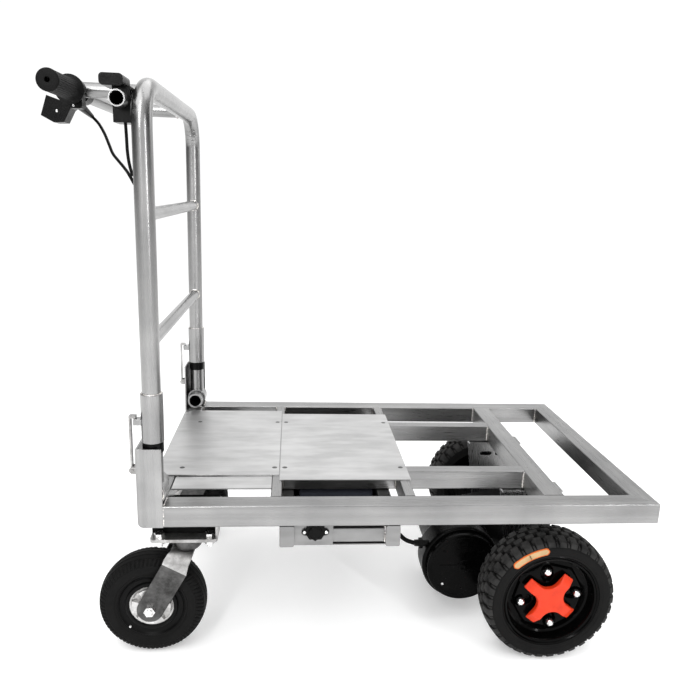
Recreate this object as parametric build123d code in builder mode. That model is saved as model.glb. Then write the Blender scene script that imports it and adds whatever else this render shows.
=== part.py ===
"""Electric flatbed hand cart: tube deck, folding push handle, swivel casters and a driven rear axle.

Millimetres, +Z up, the floor at z = 0.  +X points from the push handle to the loading end and
+Y is the left side of somebody who walks behind the handle.
"""
import math
import os

from build123d import *

os.makedirs("parts", exist_ok=True)

# ---------------------------------------------------------------- driving dimensions
deck_x = 106.7             # middle of the deck frame, so that the whole cart is centred on x = 0
deck_length = 900
deck_width = 590
deck_top = 330
tube = 40                  # square frame tube
wall = 2
strip = 20                 # narrow side of the flat cross tubes
sheet = 2                  # deck plates

handle_height = 690        # centre of the handle's top bar above the deck
post_r = 16
sleeve_r = 19
bend_r = 65
pivot_lift = 21            # fold axis above the deck
bar_back = 131             # handlebar axis behind the posts
bar_r = 11
bar_half = 290

rear_r = 128
rear_tyre_half = 40
caster_r = 100
caster_tyre_half = 30
trail = 66                 # caster wheel axle behind its swivel axis

# ---------------------------------------------------------------- positions worked out from them
back = deck_x - deck_length / 2
front = deck_x + deck_length / 2
half_width = deck_width / 2
rail_y = half_width - tube / 2
rail_z = deck_top - tube / 2
under = deck_top - tube    # underside of the frame tubes
clear_width = deck_width - 2 * tube

post_x = back - 17
post_y = half_width - 24
pivot_z = deck_top + pivot_lift
bar_x = post_x - bar_back
bar_z = deck_top + handle_height - 4
top_z = deck_top + handle_height

rear_x = deck_x + 265
rear_z = rear_r
rear_y = half_width - 1 - rear_tyre_half
swivel_x = deck_x - 421
caster_x = swivel_x - trail
caster_z = caster_r
caster_y = 215
motor_x = deck_x + 128
motor_z = rear_z - 7.4
motor_r = 82
motor_face_r = 74
motor_neck_r = 58

SIDES = (("left", 1), ("right", -1))


def face_plane(x, y, z):
    """Upright plane whose local axes are world X and Z; negative extrusions go towards +Y."""
    return Plane(origin=(x, y, z), x_dir=(1, 0, 0), z_dir=(0, -1, 0))


def end_plane(x, y, z):
    """Upright plane across the cart: local axes are world Y and Z, and extrusions go towards +X."""
    return Plane(origin=(x, y, z), x_dir=(0, 1, 0), z_dir=(1, 0, 0))


def level_plane(x, y, z):
    """Level plane whose local axes are world X and Y."""
    return Plane(origin=(x, y, z))


def spin_plane(x, y, z, side):
    """Plane through a wheel's axis: local x points outwards along Y, local y is the radius."""
    return Plane(origin=(x, y, z), x_dir=(0, side, 0), z_dir=(side, 0, 0))


def tube_run(plane, width, height, length):
    """Hollow rounded rectangular tube, extruded from the plane into the open part."""
    with BuildSketch(plane) as section:
        RectangleRounded(width, height, 3)
        RectangleRounded(width - 2 * wall, height - 2 * wall, 1.5, mode=Mode.SUBTRACT)
    extrude(section.sketch, amount=length)


def bar_along_y(x, z, radius, y_from, y_to, bore=0, mode=Mode.ADD):
    """Round bar or pipe parallel to Y, added to the open part or cut from it."""
    with BuildSketch(face_plane(x, y_from, z)) as section:
        Circle(radius)
        if bore:
            Circle(bore, mode=Mode.SUBTRACT)
    extrude(section.sketch, amount=-(y_to - y_from), mode=mode)


def box_between(low, high, mode=Mode.ADD):
    """Box given by its lowest and highest corners."""
    size = [b - a for a, b in zip(low, high)]
    middle = [(a + b) / 2 for a, b in zip(low, high)]
    with Locations(tuple(middle)):
        Box(*size, mode=mode)


def cord_radii(points):
    """Bend radii that are as large as the two runs at each corner allow."""
    radii = []
    for a, b, c in zip(points, points[1:], points[2:]):
        run_in = Vector(*b) - Vector(*a)
        run_out = Vector(*c) - Vector(*b)
        half_turn = math.radians(run_in.get_angle(run_out)) / 2
        radii.append(0.45 * min(run_in.length, run_out.length) / math.tan(half_turn))
    return radii


def cord(points, diameter):
    """Cable along straight runs and tangent arcs, added to the open part."""
    radii = cord_radii(points)
    print("cable radii", [round(radius) for radius in radii])
    with BuildLine() as path:
        FilletPolyline(*points, radius=radii)
    route = path.wires()[0]
    start = Vector(*points[1]) - Vector(*points[0])
    with BuildSketch(Plane(origin=points[0], z_dir=start)) as section:
        Circle(diameter / 2)
    sweep(section.sketch, path=route)
    print("cable length", round(route.length))


# ---------------------------------------------------------------- deck frame
for side, s in SIDES:
    with BuildPart() as side_rail:
        tube_run(end_plane(back, s * rail_y, rail_z), tube, tube, deck_length)
        split(bisect_by=Plane(origin=(front, s * half_width, 0), z_dir=(1, -s, 0)), keep=Keep.BOTTOM)
    side_rail.part.label = f"side_rail_{side}"
    export_step(side_rail.part, f"parts/side_rail_{side}.step")

with BuildPart() as front_end_member:
    tube_run(face_plane(front - tube / 2, -half_width, rail_z), tube, tube, -deck_width)
    for side, s in SIDES:
        split(bisect_by=Plane(origin=(front, s * half_width, 0), z_dir=(1, -s, 0)), keep=Keep.TOP)
front_end_member.part.label = "front_end_member"
export_step(front_end_member.part, "parts/front_end_member.step")

end_half = 251             # stops short of the handle's eyes
with BuildPart() as handle_end_member:
    tube_run(face_plane(back - tube / 2, -end_half, rail_z), tube, tube, -2 * end_half)
handle_end_member.part.label = "handle_end_member"
export_step(handle_end_member.part, "parts/handle_end_member.step")

wide_x = deck_x + 263
with BuildPart() as wide_crossmember:
    tube_run(face_plane(wide_x, -(half_width - tube), rail_z), tube, tube, -clear_width)
wide_crossmember.part.label = "wide_crossmember"
export_step(wide_crossmember.part, "parts/wide_crossmember.step")

inner_y = 132
inner_width = 26
inner_start = back
inner_end = wide_x - tube / 2
with BuildPart() as inner_rails:
    for side, s in SIDES:
        tube_run(end_plane(inner_start, s * inner_y, rail_z),
                 inner_width, tube, inner_end - inner_start)
inner_rails.part.label = "inner_rails"
export_step(inner_rails.part, "parts/inner_rails.step")

narrow_at = (deck_x - 256, deck_x - 10)
outer_piece = half_width - tube - inner_y - inner_width / 2
centre_piece = 2 * inner_y - inner_width
with BuildPart() as narrow_crossmembers:
    for x in narrow_at:
        for low, length in ((-half_width + tube, outer_piece), (-centre_piece / 2, centre_piece),
                            (inner_y + inner_width / 2, outer_piece)):
            tube_run(face_plane(x, low, rail_z), strip, tube, -length)
narrow_crossmembers.part.label = "narrow_crossmembers"
export_step(narrow_crossmembers.part, "parts/narrow_crossmembers.step")

# ---------------------------------------------------------------- deck plates
plate_split = deck_x - 252
plate_back = back - 38
plate_right = -166
plate_left = 214
corner_cut = 32
strip_right = -221         # flush strip beside the plate, on the right
strip_left = -169
front_plate_end = deck_x + 2
screw_hole_r = 5
back_screws = [(x, s * inner_y) for x in (back + 8, plate_split - 10) for s in (-1, 1)]
front_screws = [(x, s * inner_y) for x in (plate_split + 10, front_plate_end - 12) for s in (-1, 1)]
with BuildPart() as back_deck_plate:
    with BuildSketch(Plane.XY.offset(deck_top)):
        with BuildLine():
            plate_outline = Polyline((plate_back, plate_right), (plate_split - 1, plate_right),
                                     (plate_split - 1, plate_left), (plate_back, plate_left), close=True)
        make_face()
        fillet(plate_outline.vertices().group_by(Axis.X)[0], radius=corner_cut)
        with Locations(*back_screws):
            Circle(screw_hole_r, mode=Mode.SUBTRACT)
    extrude(amount=sheet)
    box_between((back + 2, strip_right, deck_top - 3), (narrow_at[0] - strip / 2, strip_left, deck_top - 1))
back_deck_plate.part.label = "back_deck_plate"
export_step(back_deck_plate.part, "parts/back_deck_plate.step")

with BuildPart() as front_deck_plate:
    box_between((plate_split + 1, -190, deck_top), (front_plate_end, 192, deck_top + sheet))
    with BuildSketch(Plane.XY.offset(deck_top)):
        with Locations(*front_screws):
            Circle(screw_hole_r)
    extrude(amount=sheet, mode=Mode.SUBTRACT)
front_deck_plate.part.label = "front_deck_plate"
export_step(front_deck_plate.part, "parts/front_deck_plate.step")

with BuildPart() as plate_screws:
    with BuildSketch(Plane.XY.offset(deck_top)):
        with Locations(*back_screws, *front_screws):
            Circle(screw_hole_r - 0.05)
    extrude(amount=sheet - 0.1)
plate_screws.part.label = "plate_screws"
export_step(plate_screws.part, "parts/plate_screws.step")

# ---------------------------------------------------------------- handle brackets and fold pivots
bracket_back = back - 43
web = 3
cheek = 4
bracket_top = deck_top + 105
bracket_corner = 10
with BuildPart() as handle_brackets:
    for side, s in SIDES:
        with BuildSketch(face_plane(0, s * half_width, 0)):
            with BuildLine():
                Polyline((back, under), (back, bracket_top), (bracket_back, bracket_top),
                         (bracket_back, under + bracket_corner))
                ThreePointArc((bracket_back, under + bracket_corner),
                              (bracket_back + 0.29 * bracket_corner, under + 0.29 * bracket_corner),
                              (bracket_back + bracket_corner, under))
                Line((bracket_back + bracket_corner, under), (back, under))
            make_face()
        extrude(amount=s * cheek)
        inner_edge = half_width - 55
        box_between((bracket_back, min(s * inner_edge, s * (half_width - cheek)), under + bracket_corner),
                    (bracket_back + web, max(s * inner_edge, s * (half_width - cheek)), bracket_top))
handle_brackets.part.label = "handle_brackets"
export_step(handle_brackets.part, "parts/handle_brackets.step")

pivot_r = 18
pivot_bore = 14
pivot_inner = half_width - 64
with BuildPart() as pivot_tubes:
    for side, s in SIDES:
        bar_along_y(post_x, pivot_z, pivot_r, s * pivot_inner, s * (half_width - cheek), bore=pivot_bore)
pivot_tubes.part.label = "pivot_tubes"
export_step(pivot_tubes.part, "parts/pivot_tubes.step")

# ---------------------------------------------------------------- handle: frame, feet, rungs
eye_r = 22
eye_half = 18
foot_start = pivot_z + 10
collar_low = deck_top + 93
collar_high = deck_top + 112
sleeve_high = deck_top + 198
with BuildPart() as handle_frame:
    with BuildLine() as loop:
        FilletPolyline((post_x, -post_y, foot_start), (post_x, -post_y, top_z), (post_x, post_y, top_z),
                       (post_x, post_y, foot_start), radius=bend_r)
    with BuildSketch(Plane.XY.offset(foot_start)):
        with Locations((post_x, -post_y)):
            Circle(post_r)
            Circle(post_r - wall, mode=Mode.SUBTRACT)
    sweep(path=loop.wires()[0])
    for side, s in SIDES:
        with BuildSketch(face_plane(post_x, s * (post_y - 40), pivot_z)):
            Circle(eye_r)
        extrude(amount=-s * 80, mode=Mode.SUBTRACT)
handle_frame.part.label = "handle_frame"
export_step(handle_frame.part, "parts/handle_frame.step")

keeper_low = deck_top + 142
keeper_high = deck_top + 153
with BuildPart() as handle_feet:
    for side, s in SIDES:
        bar_along_y(post_x, pivot_z, eye_r, s * post_y - eye_half, s * post_y + eye_half,
                    bore=pivot_r + 0.06)
        with BuildSketch(Plane.XY.offset(collar_high)):
            with Locations((post_x, s * post_y)):
                Circle(sleeve_r)
                Circle(post_r, mode=Mode.SUBTRACT)
        extrude(amount=sleeve_high - collar_high)
        with BuildSketch(Plane.XY.offset(keeper_low)):
            with Locations((post_x - sleeve_r - 5, s * post_y)):
                Rectangle(14, 16)
            with Locations((post_x, s * post_y)):
                Circle(sleeve_r, mode=Mode.SUBTRACT)
        extrude(amount=keeper_high - keeper_low)
handle_feet.part.label = "handle_feet"
export_step(handle_feet.part, "parts/handle_feet.step")

with BuildPart() as foot_collars:
    for side, s in SIDES:
        with BuildSketch(Plane.XY.offset(collar_low)):
            with Locations((post_x, s * post_y)):
                Circle(post_r + 2)
                Circle(post_r, mode=Mode.SUBTRACT)
        extrude(amount=collar_high - collar_low)
foot_collars.part.label = "foot_collars"
export_step(foot_collars.part, "parts/foot_collars.step")

rung_r = 11
with BuildPart() as handle_rungs:
    for height in (493, 283):
        bar_along_y(post_x, deck_top + height, rung_r, -post_y, post_y, bore=rung_r - 1.5)
    for side, s in SIDES:
        with BuildSketch(Plane.XY.offset(deck_top + 250)):
            with Locations((post_x, s * post_y)):
                Circle(post_r)
        extrude(amount=300, mode=Mode.SUBTRACT)
handle_rungs.part.label = "handle_rungs"
export_step(handle_rungs.part, "parts/handle_rungs.step")

# ---------------------------------------------------------------- handle: arms, handlebar, accessory stub
arm_r = 12.5
arm_y = 150
arm_z = top_z
stub_r = arm_r
stub_x = post_x - 32
stub_z = arm_z - arm_r - stub_r
stub_near = -bar_half
stub_far = -arm_y + arm_r
with BuildPart() as handle_arms:
    for side, s in SIDES:
        with BuildSketch(end_plane(bar_x, s * arm_y, arm_z)):
            Circle(arm_r)
            Circle(arm_r - 1.5, mode=Mode.SUBTRACT)
        extrude(amount=bar_back)
    bar_along_y(post_x, top_z, post_r, -post_y, post_y, mode=Mode.SUBTRACT)
    bar_along_y(bar_x, bar_z, bar_r, -post_y, post_y, mode=Mode.SUBTRACT)
    bar_along_y(stub_x, stub_z, stub_r, stub_near, stub_far, bore=stub_r - 2)
handle_arms.part.label = "handle_arms"
export_step(handle_arms.part, "parts/handle_arms.step")

with BuildPart() as handlebar:
    bar_along_y(bar_x, bar_z, bar_r, -bar_half + 4, bar_half - 4, bore=bar_r - 2)
handlebar.part.label = "handlebar"
export_step(handlebar.part, "parts/handlebar.step")

# ---------------------------------------------------------------- handlebar controls
grip_r = 17
flange_r = 23.5
throttle_out = -bar_half
throttle_in = -184
with BuildPart() as throttle_grip:
    with BuildSketch(spin_plane(bar_x, throttle_in, bar_z, -1)):
        with BuildLine():
            Polyline((0, bar_r + 0.05), (0, flange_r), (5, flange_r), (9, grip_r + 1), (14, grip_r),
                     (throttle_in - throttle_out - 3, grip_r), (throttle_in - throttle_out, grip_r - 3),
                     (throttle_in - throttle_out, 4), (throttle_in - throttle_out - 3.5, 4),
                     (throttle_in - throttle_out - 3.5, bar_r + 0.05), (0, bar_r + 0.05))
        make_face()
    revolve(axis=Axis((bar_x, 0, bar_z), (0, 1, 0)))
throttle_grip.part.label = "throttle_grip"
export_step(throttle_grip.part, "parts/throttle_grip.step")

with BuildPart() as left_grip:
    with BuildSketch(spin_plane(bar_x, -throttle_in, bar_z, 1)):
        with BuildLine():
            Polyline((0, bar_r), (0, flange_r - 3), (4, flange_r - 3), (8, grip_r),
                     (throttle_in - throttle_out - 3, grip_r), (throttle_in - throttle_out, grip_r - 3),
                     (throttle_in - throttle_out, 4), (throttle_in - throttle_out - 4, 4),
                     (throttle_in - throttle_out - 4, bar_r), (0, bar_r))
        make_face()
    revolve(axis=Axis((bar_x, 0, bar_z), (0, 1, 0)))
left_grip.part.label = "left_grip"
export_step(left_grip.part, "parts/left_grip.step")

housing_near = throttle_in + 0.5
housing_far = -arm_y - arm_r - 0.5
boot_tip = (post_x - 117, -115, deck_top + 651)
boot_root = (bar_x + 8, housing_far - 4, bar_z - 21)
with BuildPart() as throttle_housing:
    bar_along_y(bar_x, bar_z, 21, housing_near, housing_far, bore=bar_r)
    with BuildSketch(face_plane(bar_x + 6, housing_near, bar_z - 17)):
        RectangleRounded(24, 24, 5)
    extrude(amount=-(housing_far - housing_near))
    boot_axis = Vector(*boot_tip) - Vector(*boot_root)
    with BuildSketch(Plane(origin=boot_root, z_dir=boot_axis)):
        Circle(8)
    with BuildSketch(Plane(origin=boot_tip, z_dir=boot_axis)):
        Circle(3.6)
    loft()
    bar_along_y(bar_x, bar_z, bar_r, housing_near - 5, housing_far + 60, mode=Mode.SUBTRACT)
throttle_housing.part.label = "throttle_housing"
export_step(throttle_housing.part, "parts/throttle_housing.step")

switch_near = -arm_y + arm_r + 1
switch_far = switch_near + 30
switch_y = (switch_near + switch_far) / 2
rocker_x = bar_x - 56.65
rocker_z = bar_z - 22.45
rocker_lean = math.radians(18.4)
rocker_half = 7
rocker_tall = 9.5


def rocker_plane(y):
    """Upright plane through the rocker's pin: local x points into the box, square to its back face."""
    inwards = (math.cos(rocker_lean), 0, -math.sin(rocker_lean))
    return Plane(origin=(rocker_x, y, rocker_z), x_dir=inwards, z_dir=(0, -1, 0))


with BuildPart() as switch_box:
    with BuildSketch(face_plane(bar_x, switch_near, bar_z)):
        Circle(17)
        with BuildLine():
            Polyline((-54, -5), (-33, -12), (-12, -8), (-10, -22), (-16, -27), (-27, -48), (-44, -49),
                     (-65, -38), close=True)
        make_face()
        Circle(bar_r, mode=Mode.SUBTRACT)
    extrude(amount=-(switch_far - switch_near))
    with BuildSketch(rocker_plane(switch_y - rocker_half - 1)):
        with Locations((-1.5, 0)):
            Rectangle(13, 2 * rocker_tall + 5)
    extrude(amount=-2 * (rocker_half + 1), mode=Mode.SUBTRACT)
    bar_along_y(rocker_x, rocker_z, 1.55, switch_near + 2, switch_far - 2, mode=Mode.SUBTRACT)
switch_box.part.label = "switch_box"
export_step(switch_box.part, "parts/switch_box.step")

with BuildPart() as switch_rocker:
    with BuildSketch(rocker_plane(switch_y - rocker_half)):
        with BuildLine():
            Polyline((1.5, -rocker_tall), (1.5, rocker_tall), (-6, rocker_tall), (-4, 0),
                     (-6, -rocker_tall), close=True)
        make_face()
    extrude(amount=-2 * rocker_half)
    bar_along_y(rocker_x, rocker_z, 1.5, switch_y - rocker_half - 3, switch_y + rocker_half + 3)
switch_rocker.part.label = "switch_rocker"
export_step(switch_rocker.part, "parts/switch_rocker.step")

meter_near = -275
meter_far = -228
meter_back = post_x - 61
meter_front = post_x - 25
meter_low = deck_top + 684
clamp_near = -262
clamp_far = -222
button_y = -232
button_z = deck_top + 641
with BuildPart() as meter_box:
    box_between((meter_back, meter_near, meter_low), (meter_front, meter_far, meter_low + 18))
    fillet(meter_box.edges().filter_by(Axis.Y), radius=6)
    bar_along_y(stub_x, stub_z, stub_r + 2.5, clamp_near, clamp_far)
    box_between((post_x - 45, clamp_near, deck_top + 632), (post_x - 18, clamp_far, meter_low + 2))
    bar_along_y(stub_x, stub_z, stub_r, stub_near, stub_far, mode=Mode.SUBTRACT)
    with BuildSketch(end_plane(post_x - 46, button_y, button_z)):
        Circle(5.1)
    extrude(amount=8, mode=Mode.SUBTRACT)
meter_box.part.label = "meter_box"
export_step(meter_box.part, "parts/meter_box.step")

with BuildPart() as power_button:
    with BuildSketch(end_plane(post_x - 47.5, button_y, button_z)):
        Circle(5)
    extrude(amount=7)
power_button.part.label = "power_button"
export_step(power_button.part, "parts/power_button.step")

cable_d = 5
grommet = (post_x - post_r + 1, -post_y + 1, deck_top + 540)
throttle_route = [boot_tip, (post_x - 102, -131, deck_top + 639), (post_x - 88, -151, deck_top + 622),
                  (post_x - 76, -172, deck_top + 603), (post_x - 66, -191, deck_top + 587),
                  (post_x - 51, -213, deck_top + 575), (post_x - 38, -234, deck_top + 565),
                  (post_x - 27, -254, deck_top + 556), grommet]
meter_route = [(post_x - 29, -252, deck_top + 634), (post_x - 27.5, -255, deck_top + 612),
               (post_x - 26.5, -258.5, deck_top + 590), (post_x - 23.5, -262, deck_top + 570),
               (post_x - 18.5, -264, deck_top + 552)]
with BuildPart() as handle_cables:
    cord(throttle_route, cable_d)
    cord(meter_route, cable_d)
handle_cables.part.label = "handle_cables"
export_step(handle_cables.part, "parts/handle_cables.step")

# ---------------------------------------------------------------- toggle latches
latch_x = bracket_back - 9
latch_z = deck_top + 60
with BuildPart() as latch_bases:
    for side, s in SIDES:
        box_between((bracket_back - 3, s * post_y - 12, latch_z - 18),
                    (bracket_back, s * post_y + 12, latch_z + 24))
        for ear in (-1, 1):
            with BuildSketch(face_plane(latch_x, s * post_y + ear * 7.3 - 1, latch_z)):
                Circle(6)
                with Locations((4, 0)):
                    Rectangle(8, 12)
                Circle(2, mode=Mode.SUBTRACT)
            extrude(amount=-2)
        bar_along_y(latch_x, latch_z, 2, s * post_y - 10, s * post_y + 10)
latch_bases.part.label = "latch_bases"
export_step(latch_bases.part, "parts/latch_bases.step")

lever_half = 6
for side, s in SIDES:
    with BuildPart() as latch_lever:
        y_low = s * post_y - lever_half
        y_high = s * post_y + lever_half
        bar_along_y(latch_x, latch_z, 4, y_low, y_high)
        box_between((latch_x - 3.5, y_low, latch_z - 6), (latch_x - 0.5, y_high, keeper_high + 5))
        box_between((latch_x - 3.5, y_low, keeper_high + 1), (latch_x + 8, y_high, keeper_high + 5))
        bar_along_y(latch_x, latch_z, 2.05, y_low, y_high, mode=Mode.SUBTRACT)
    latch_lever.part.label = f"latch_lever_{side}"
    export_step(latch_lever.part, f"parts/latch_lever_{side}.step")

# ---------------------------------------------------------------- battery tray and what it carries
tray_tube = 26
tray_back = deck_x - 236
tray_front = deck_x - 45
tray_floor = under - tube
socket_x = deck_x - 188
socket_z = under - 15
panel_out = half_width - 7
with BuildPart() as battery_tray:
    for x in (tray_back, tray_front):
        tube_run(face_plane(x, -half_width, under - tube / 2), tray_tube, tube, -deck_width)
        for end in (-half_width, half_width - wall):
            with BuildSketch(face_plane(x, end, under - tube / 2)):
                RectangleRounded(tray_tube, tube, 3)
            extrude(amount=-wall)
    for side, s in SIDES:
        tube_run(end_plane(tray_back + tray_tube / 2, s * (rail_y - 4), under - 24),
                 tray_tube, 28, tray_front - tray_back - tray_tube)
    box_between((tray_back - 11, 10 - half_width, tray_floor - sheet),
                (tray_front + 11, half_width - 10, tray_floor))
    box_between((tray_back + tray_tube / 2, -panel_out, tray_floor),
                (deck_x - 153, -panel_out + 2, under - 1))
battery_tray.part.label = "battery_tray"
export_step(battery_tray.part, "parts/battery_tray.step")

with BuildPart() as charge_socket:
    with BuildSketch(face_plane(socket_x, -panel_out, socket_z)):
        RectangleRounded(47, 27, 8)
    extrude(amount=2.5)
    with BuildSketch(face_plane(socket_x, -panel_out - 2.5, socket_z)):
        Circle(11)
    extrude(amount=4)
charge_socket.part.label = "charge_socket"
export_step(charge_socket.part, "parts/charge_socket.step")

with BuildPart() as battery_pack:
    box_between((deck_x - 212, -150, tray_floor), (deck_x - 66, 150, tray_floor + 36))
    fillet(battery_pack.edges().filter_by(Axis.Z), radius=5)
battery_pack.part.label = "battery_pack"
export_step(battery_pack.part, "parts/battery_pack.step")

with BuildPart() as controller:
    box_between((deck_x - 205, 160, tray_floor), (deck_x - 85, 240, tray_floor + 34))
    for x in (-195, -175, -155, -135, -115, -95):
        box_between((deck_x + x - 4, 165, tray_floor + 26), (deck_x + x + 4, 235, tray_floor + 34),
                    mode=Mode.SUBTRACT)
controller.part.label = "controller"
export_step(controller.part, "parts/controller.step")

# ---------------------------------------------------------------- casters
plate_top = under - 40
plate_low = plate_top - 6
plate_half = 60
plate_side = 50
bolt_x = 45
bolt_y = 36
spacer_out = caster_y + 25    # stops behind the outer nuts
end_tab = 4
race_r = 30
race_low = plate_low - 8
kingpin_r = 7
crown_low = caster_z + caster_r + 5
crown_top = crown_low + 6
with BuildPart() as caster_spacers:
    for side, s in SIDES:
        inner, outer = s * (caster_y - plate_side), s * spacer_out
        box_between((swivel_x - plate_half, min(inner, outer), plate_top),
                    (swivel_x + plate_half - end_tab, max(inner, outer), under))
caster_spacers.part.label = "caster_spacers"
export_step(caster_spacers.part, "parts/caster_spacers.step")

with BuildPart() as caster_plates:
    for side, s in SIDES:
        with BuildSketch(level_plane(swivel_x, s * caster_y, plate_low)):
            RectangleRounded(2 * plate_half, 2 * plate_side, 8)
            with GridLocations(2 * bolt_x, 2 * bolt_y, 2, 2):
                Circle(5, mode=Mode.SUBTRACT)
        extrude(amount=plate_top - plate_low)
        box_between((swivel_x + plate_half - end_tab, s * caster_y - plate_side + 8, plate_low + 3),
                    (swivel_x + plate_half, s * caster_y + plate_side - 8, under))
        with BuildSketch(level_plane(swivel_x, s * caster_y, race_low)):
            Circle(race_r)
        extrude(amount=plate_low - race_low)
        with BuildSketch(level_plane(swivel_x, s * caster_y, crown_low + 1)):
            Circle(kingpin_r)
        extrude(amount=race_low - crown_low - 1)
caster_plates.part.label = "caster_plates"
export_step(caster_plates.part, "parts/caster_plates.step")

with BuildPart() as caster_bolts:
    for side, s in SIDES:
        for grid_x in (-bolt_x, bolt_x):
            for grid_y in (-bolt_y, bolt_y):
                x = swivel_x + grid_x
                y = s * caster_y + grid_y
                with BuildSketch(level_plane(x, y, plate_low - 14)):
                    Circle(4.95)
                extrude(amount=plate_top - plate_low + 14)
                with BuildSketch(level_plane(x, y, plate_low - 8)):
                    RegularPolygon(9.5, 6)
                extrude(amount=8)
                with BuildSketch(level_plane(x, y, plate_top)):
                    RegularPolygon(9.5, 6)
                extrude(amount=7)
    box_between((swivel_x - plate_half, -spacer_out, plate_top), (swivel_x + plate_half, spacer_out, under),
                mode=Mode.SUBTRACT)
caster_bolts.part.label = "caster_bolts"
export_step(caster_bolts.part, "parts/caster_bolts.step")

leg_inner = 36
leg_thick = 4
leg_half = 24
hub_half = 30
nave_half = leg_inner - 1.5
axle_r = 6
for side, s in SIDES:
    wheel_y = s * caster_y
    with BuildPart() as fork:
        with BuildSketch(level_plane(swivel_x, wheel_y, crown_low)):
            with Locations((-8, 0)):
                Rectangle(44, 2 * (leg_inner + leg_thick))
        extrude(amount=crown_top - crown_low)
        with BuildSketch(level_plane(swivel_x, wheel_y, crown_top)):
            Circle(race_r - 3)
        extrude(amount=race_low - 0.5 - crown_top)
        with BuildSketch(level_plane(swivel_x, wheel_y, crown_low - 1)):
            Circle(kingpin_r + 0.05)
        extrude(amount=60, mode=Mode.SUBTRACT)
        for leg in (-1, 1):
            leg_from = wheel_y + leg * leg_inner
            with BuildSketch(face_plane(0, leg_from, 0)):
                with Locations((caster_x, caster_z)):
                    Circle(leg_half)
                with Locations((swivel_x - 29, crown_top - 1), (swivel_x + 3, crown_top - 1),
                               (swivel_x + 12, crown_top - 21)):
                    Circle(1)
                make_hull()
                with Locations((caster_x, caster_z)):
                    Circle(axle_r, mode=Mode.SUBTRACT)
            extrude(amount=-leg * leg_thick)
    fork.part.label = f"caster_fork_{side}"
    export_step(fork.part, f"parts/caster_fork_{side}.step")

    with BuildPart() as axle:
        outer = leg_inner + leg_thick
        bar_along_y(caster_x, caster_z, axle_r, wheel_y - outer - 10, wheel_y + outer + 10)
        for end in (-1, 1):
            with BuildSketch(face_plane(caster_x, wheel_y + end * outer, caster_z)):
                RegularPolygon(10.5, 6)
            extrude(amount=-end * 7)
    axle.part.label = f"caster_axle_{side}"
    export_step(axle.part, f"parts/caster_axle_{side}.step")

    with BuildPart() as hub:
        bar_along_y(caster_x, caster_z, 41, wheel_y - hub_half, wheel_y + hub_half, bore=axle_r + 0.05)
        for face in (-1, 1):
            with BuildSketch(face_plane(caster_x, wheel_y + face * (hub_half - 8), caster_z)):
                Circle(35)
                Circle(16, mode=Mode.SUBTRACT)
            extrude(amount=-face * 10, mode=Mode.SUBTRACT)
        bar_along_y(caster_x, caster_z, 14, wheel_y - nave_half, wheel_y + nave_half, bore=axle_r + 0.05)
    hub.part.label = f"caster_hub_{side}"
    export_step(hub.part, f"parts/caster_hub_{side}.step")

    with BuildPart() as rim:
        with BuildSketch(spin_plane(caster_x, wheel_y, caster_z, 1)):
            with BuildLine():
                Polyline((-28, 41), (28, 41), (28, 46), (22, 49), (22, 58), (27, 61), (27, 63), (-27, 63),
                         (-27, 61), (-22, 58), (-22, 49), (-28, 46), (-28, 41))
            make_face()
        revolve(axis=Axis((caster_x, 0, caster_z), (0, 1, 0)))
    rim.part.label = f"caster_rim_{side}"
    export_step(rim.part, f"parts/caster_rim_{side}.step")

    with BuildPart() as tyre:
        with BuildSketch(spin_plane(caster_x, wheel_y, caster_z, 1)):
            with BuildLine():
                Polyline((-27, 63), (27, 63))
                Spline((27, 63), (caster_tyre_half, 76), (26, 91), tangents=((1, 1), (-0.5, 1)))
                ThreePointArc((26, 91), (0, caster_r), (-26, 91))
                Spline((-26, 91), (-caster_tyre_half, 76), (-27, 63), tangents=((-0.5, -1), (1, -1)))
            make_face()
        revolve(axis=Axis((caster_x, 0, caster_z), (0, 1, 0)))
    tyre.part.label = f"caster_tyre_{side}"
    export_step(tyre.part, f"parts/caster_tyre_{side}.step")

# ---------------------------------------------------------------- rear axle and motor
gearcase_r = 74
gear_from = -14
gear_to = 46
axle_tube_r = 26
shaft_r = 12
axle_end = rear_y - rear_tyre_half - 14
with BuildPart() as axle_housing:
    with BuildSketch(spin_plane(rear_x, 0, rear_z, 1)):
        with BuildLine():
            Polyline((-axle_end, 0), (-axle_end, 44), (-axle_end + 8, 44), (-axle_end + 8, axle_tube_r),
                     (-70, axle_tube_r), (-50, 34), (-28, 46), (gear_from, 62), (gear_from, gearcase_r),
                     (gear_to, gearcase_r), (gear_to, 58), (62, 42), (84, 32), (100, axle_tube_r),
                     (axle_end - 8, axle_tube_r), (axle_end - 8, 44), (axle_end, 44), (axle_end, 0),
                     (-axle_end, 0))
        make_face()
    revolve(axis=Axis((rear_x, 0, rear_z), (0, 1, 0)))
    with BuildSketch(face_plane(0, gear_from, 0)):
        with Locations((rear_x, rear_z)):
            Circle(gearcase_r)
        with Locations((motor_x, motor_z)):
            Circle(56)
        make_hull()
    extrude(amount=-(gear_to - gear_from))
    bar_along_y(rear_x, rear_z, 16, 12 - axle_end, axle_end - 12, mode=Mode.SUBTRACT)
    bar_along_y(rear_x, rear_z, shaft_r + 0.05, -axle_end, axle_end, mode=Mode.SUBTRACT)
axle_housing.part.label = "axle_housing"
export_step(axle_housing.part, "parts/axle_housing.step")

motor_end = -158
motor_pot_end = -84
with BuildPart() as motor_can:
    bar_along_y(motor_x, motor_z, motor_r, motor_end + 16, motor_pot_end)
    bar_along_y(motor_x, motor_z, motor_neck_r, motor_pot_end, gear_from)
    fillet(motor_can.edges().filter_by(GeomType.CIRCLE).group_by(SortBy.RADIUS)[-1], radius=6)
motor_can.part.label = "motor_can"
export_step(motor_can.part, "parts/motor_can.step")

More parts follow.
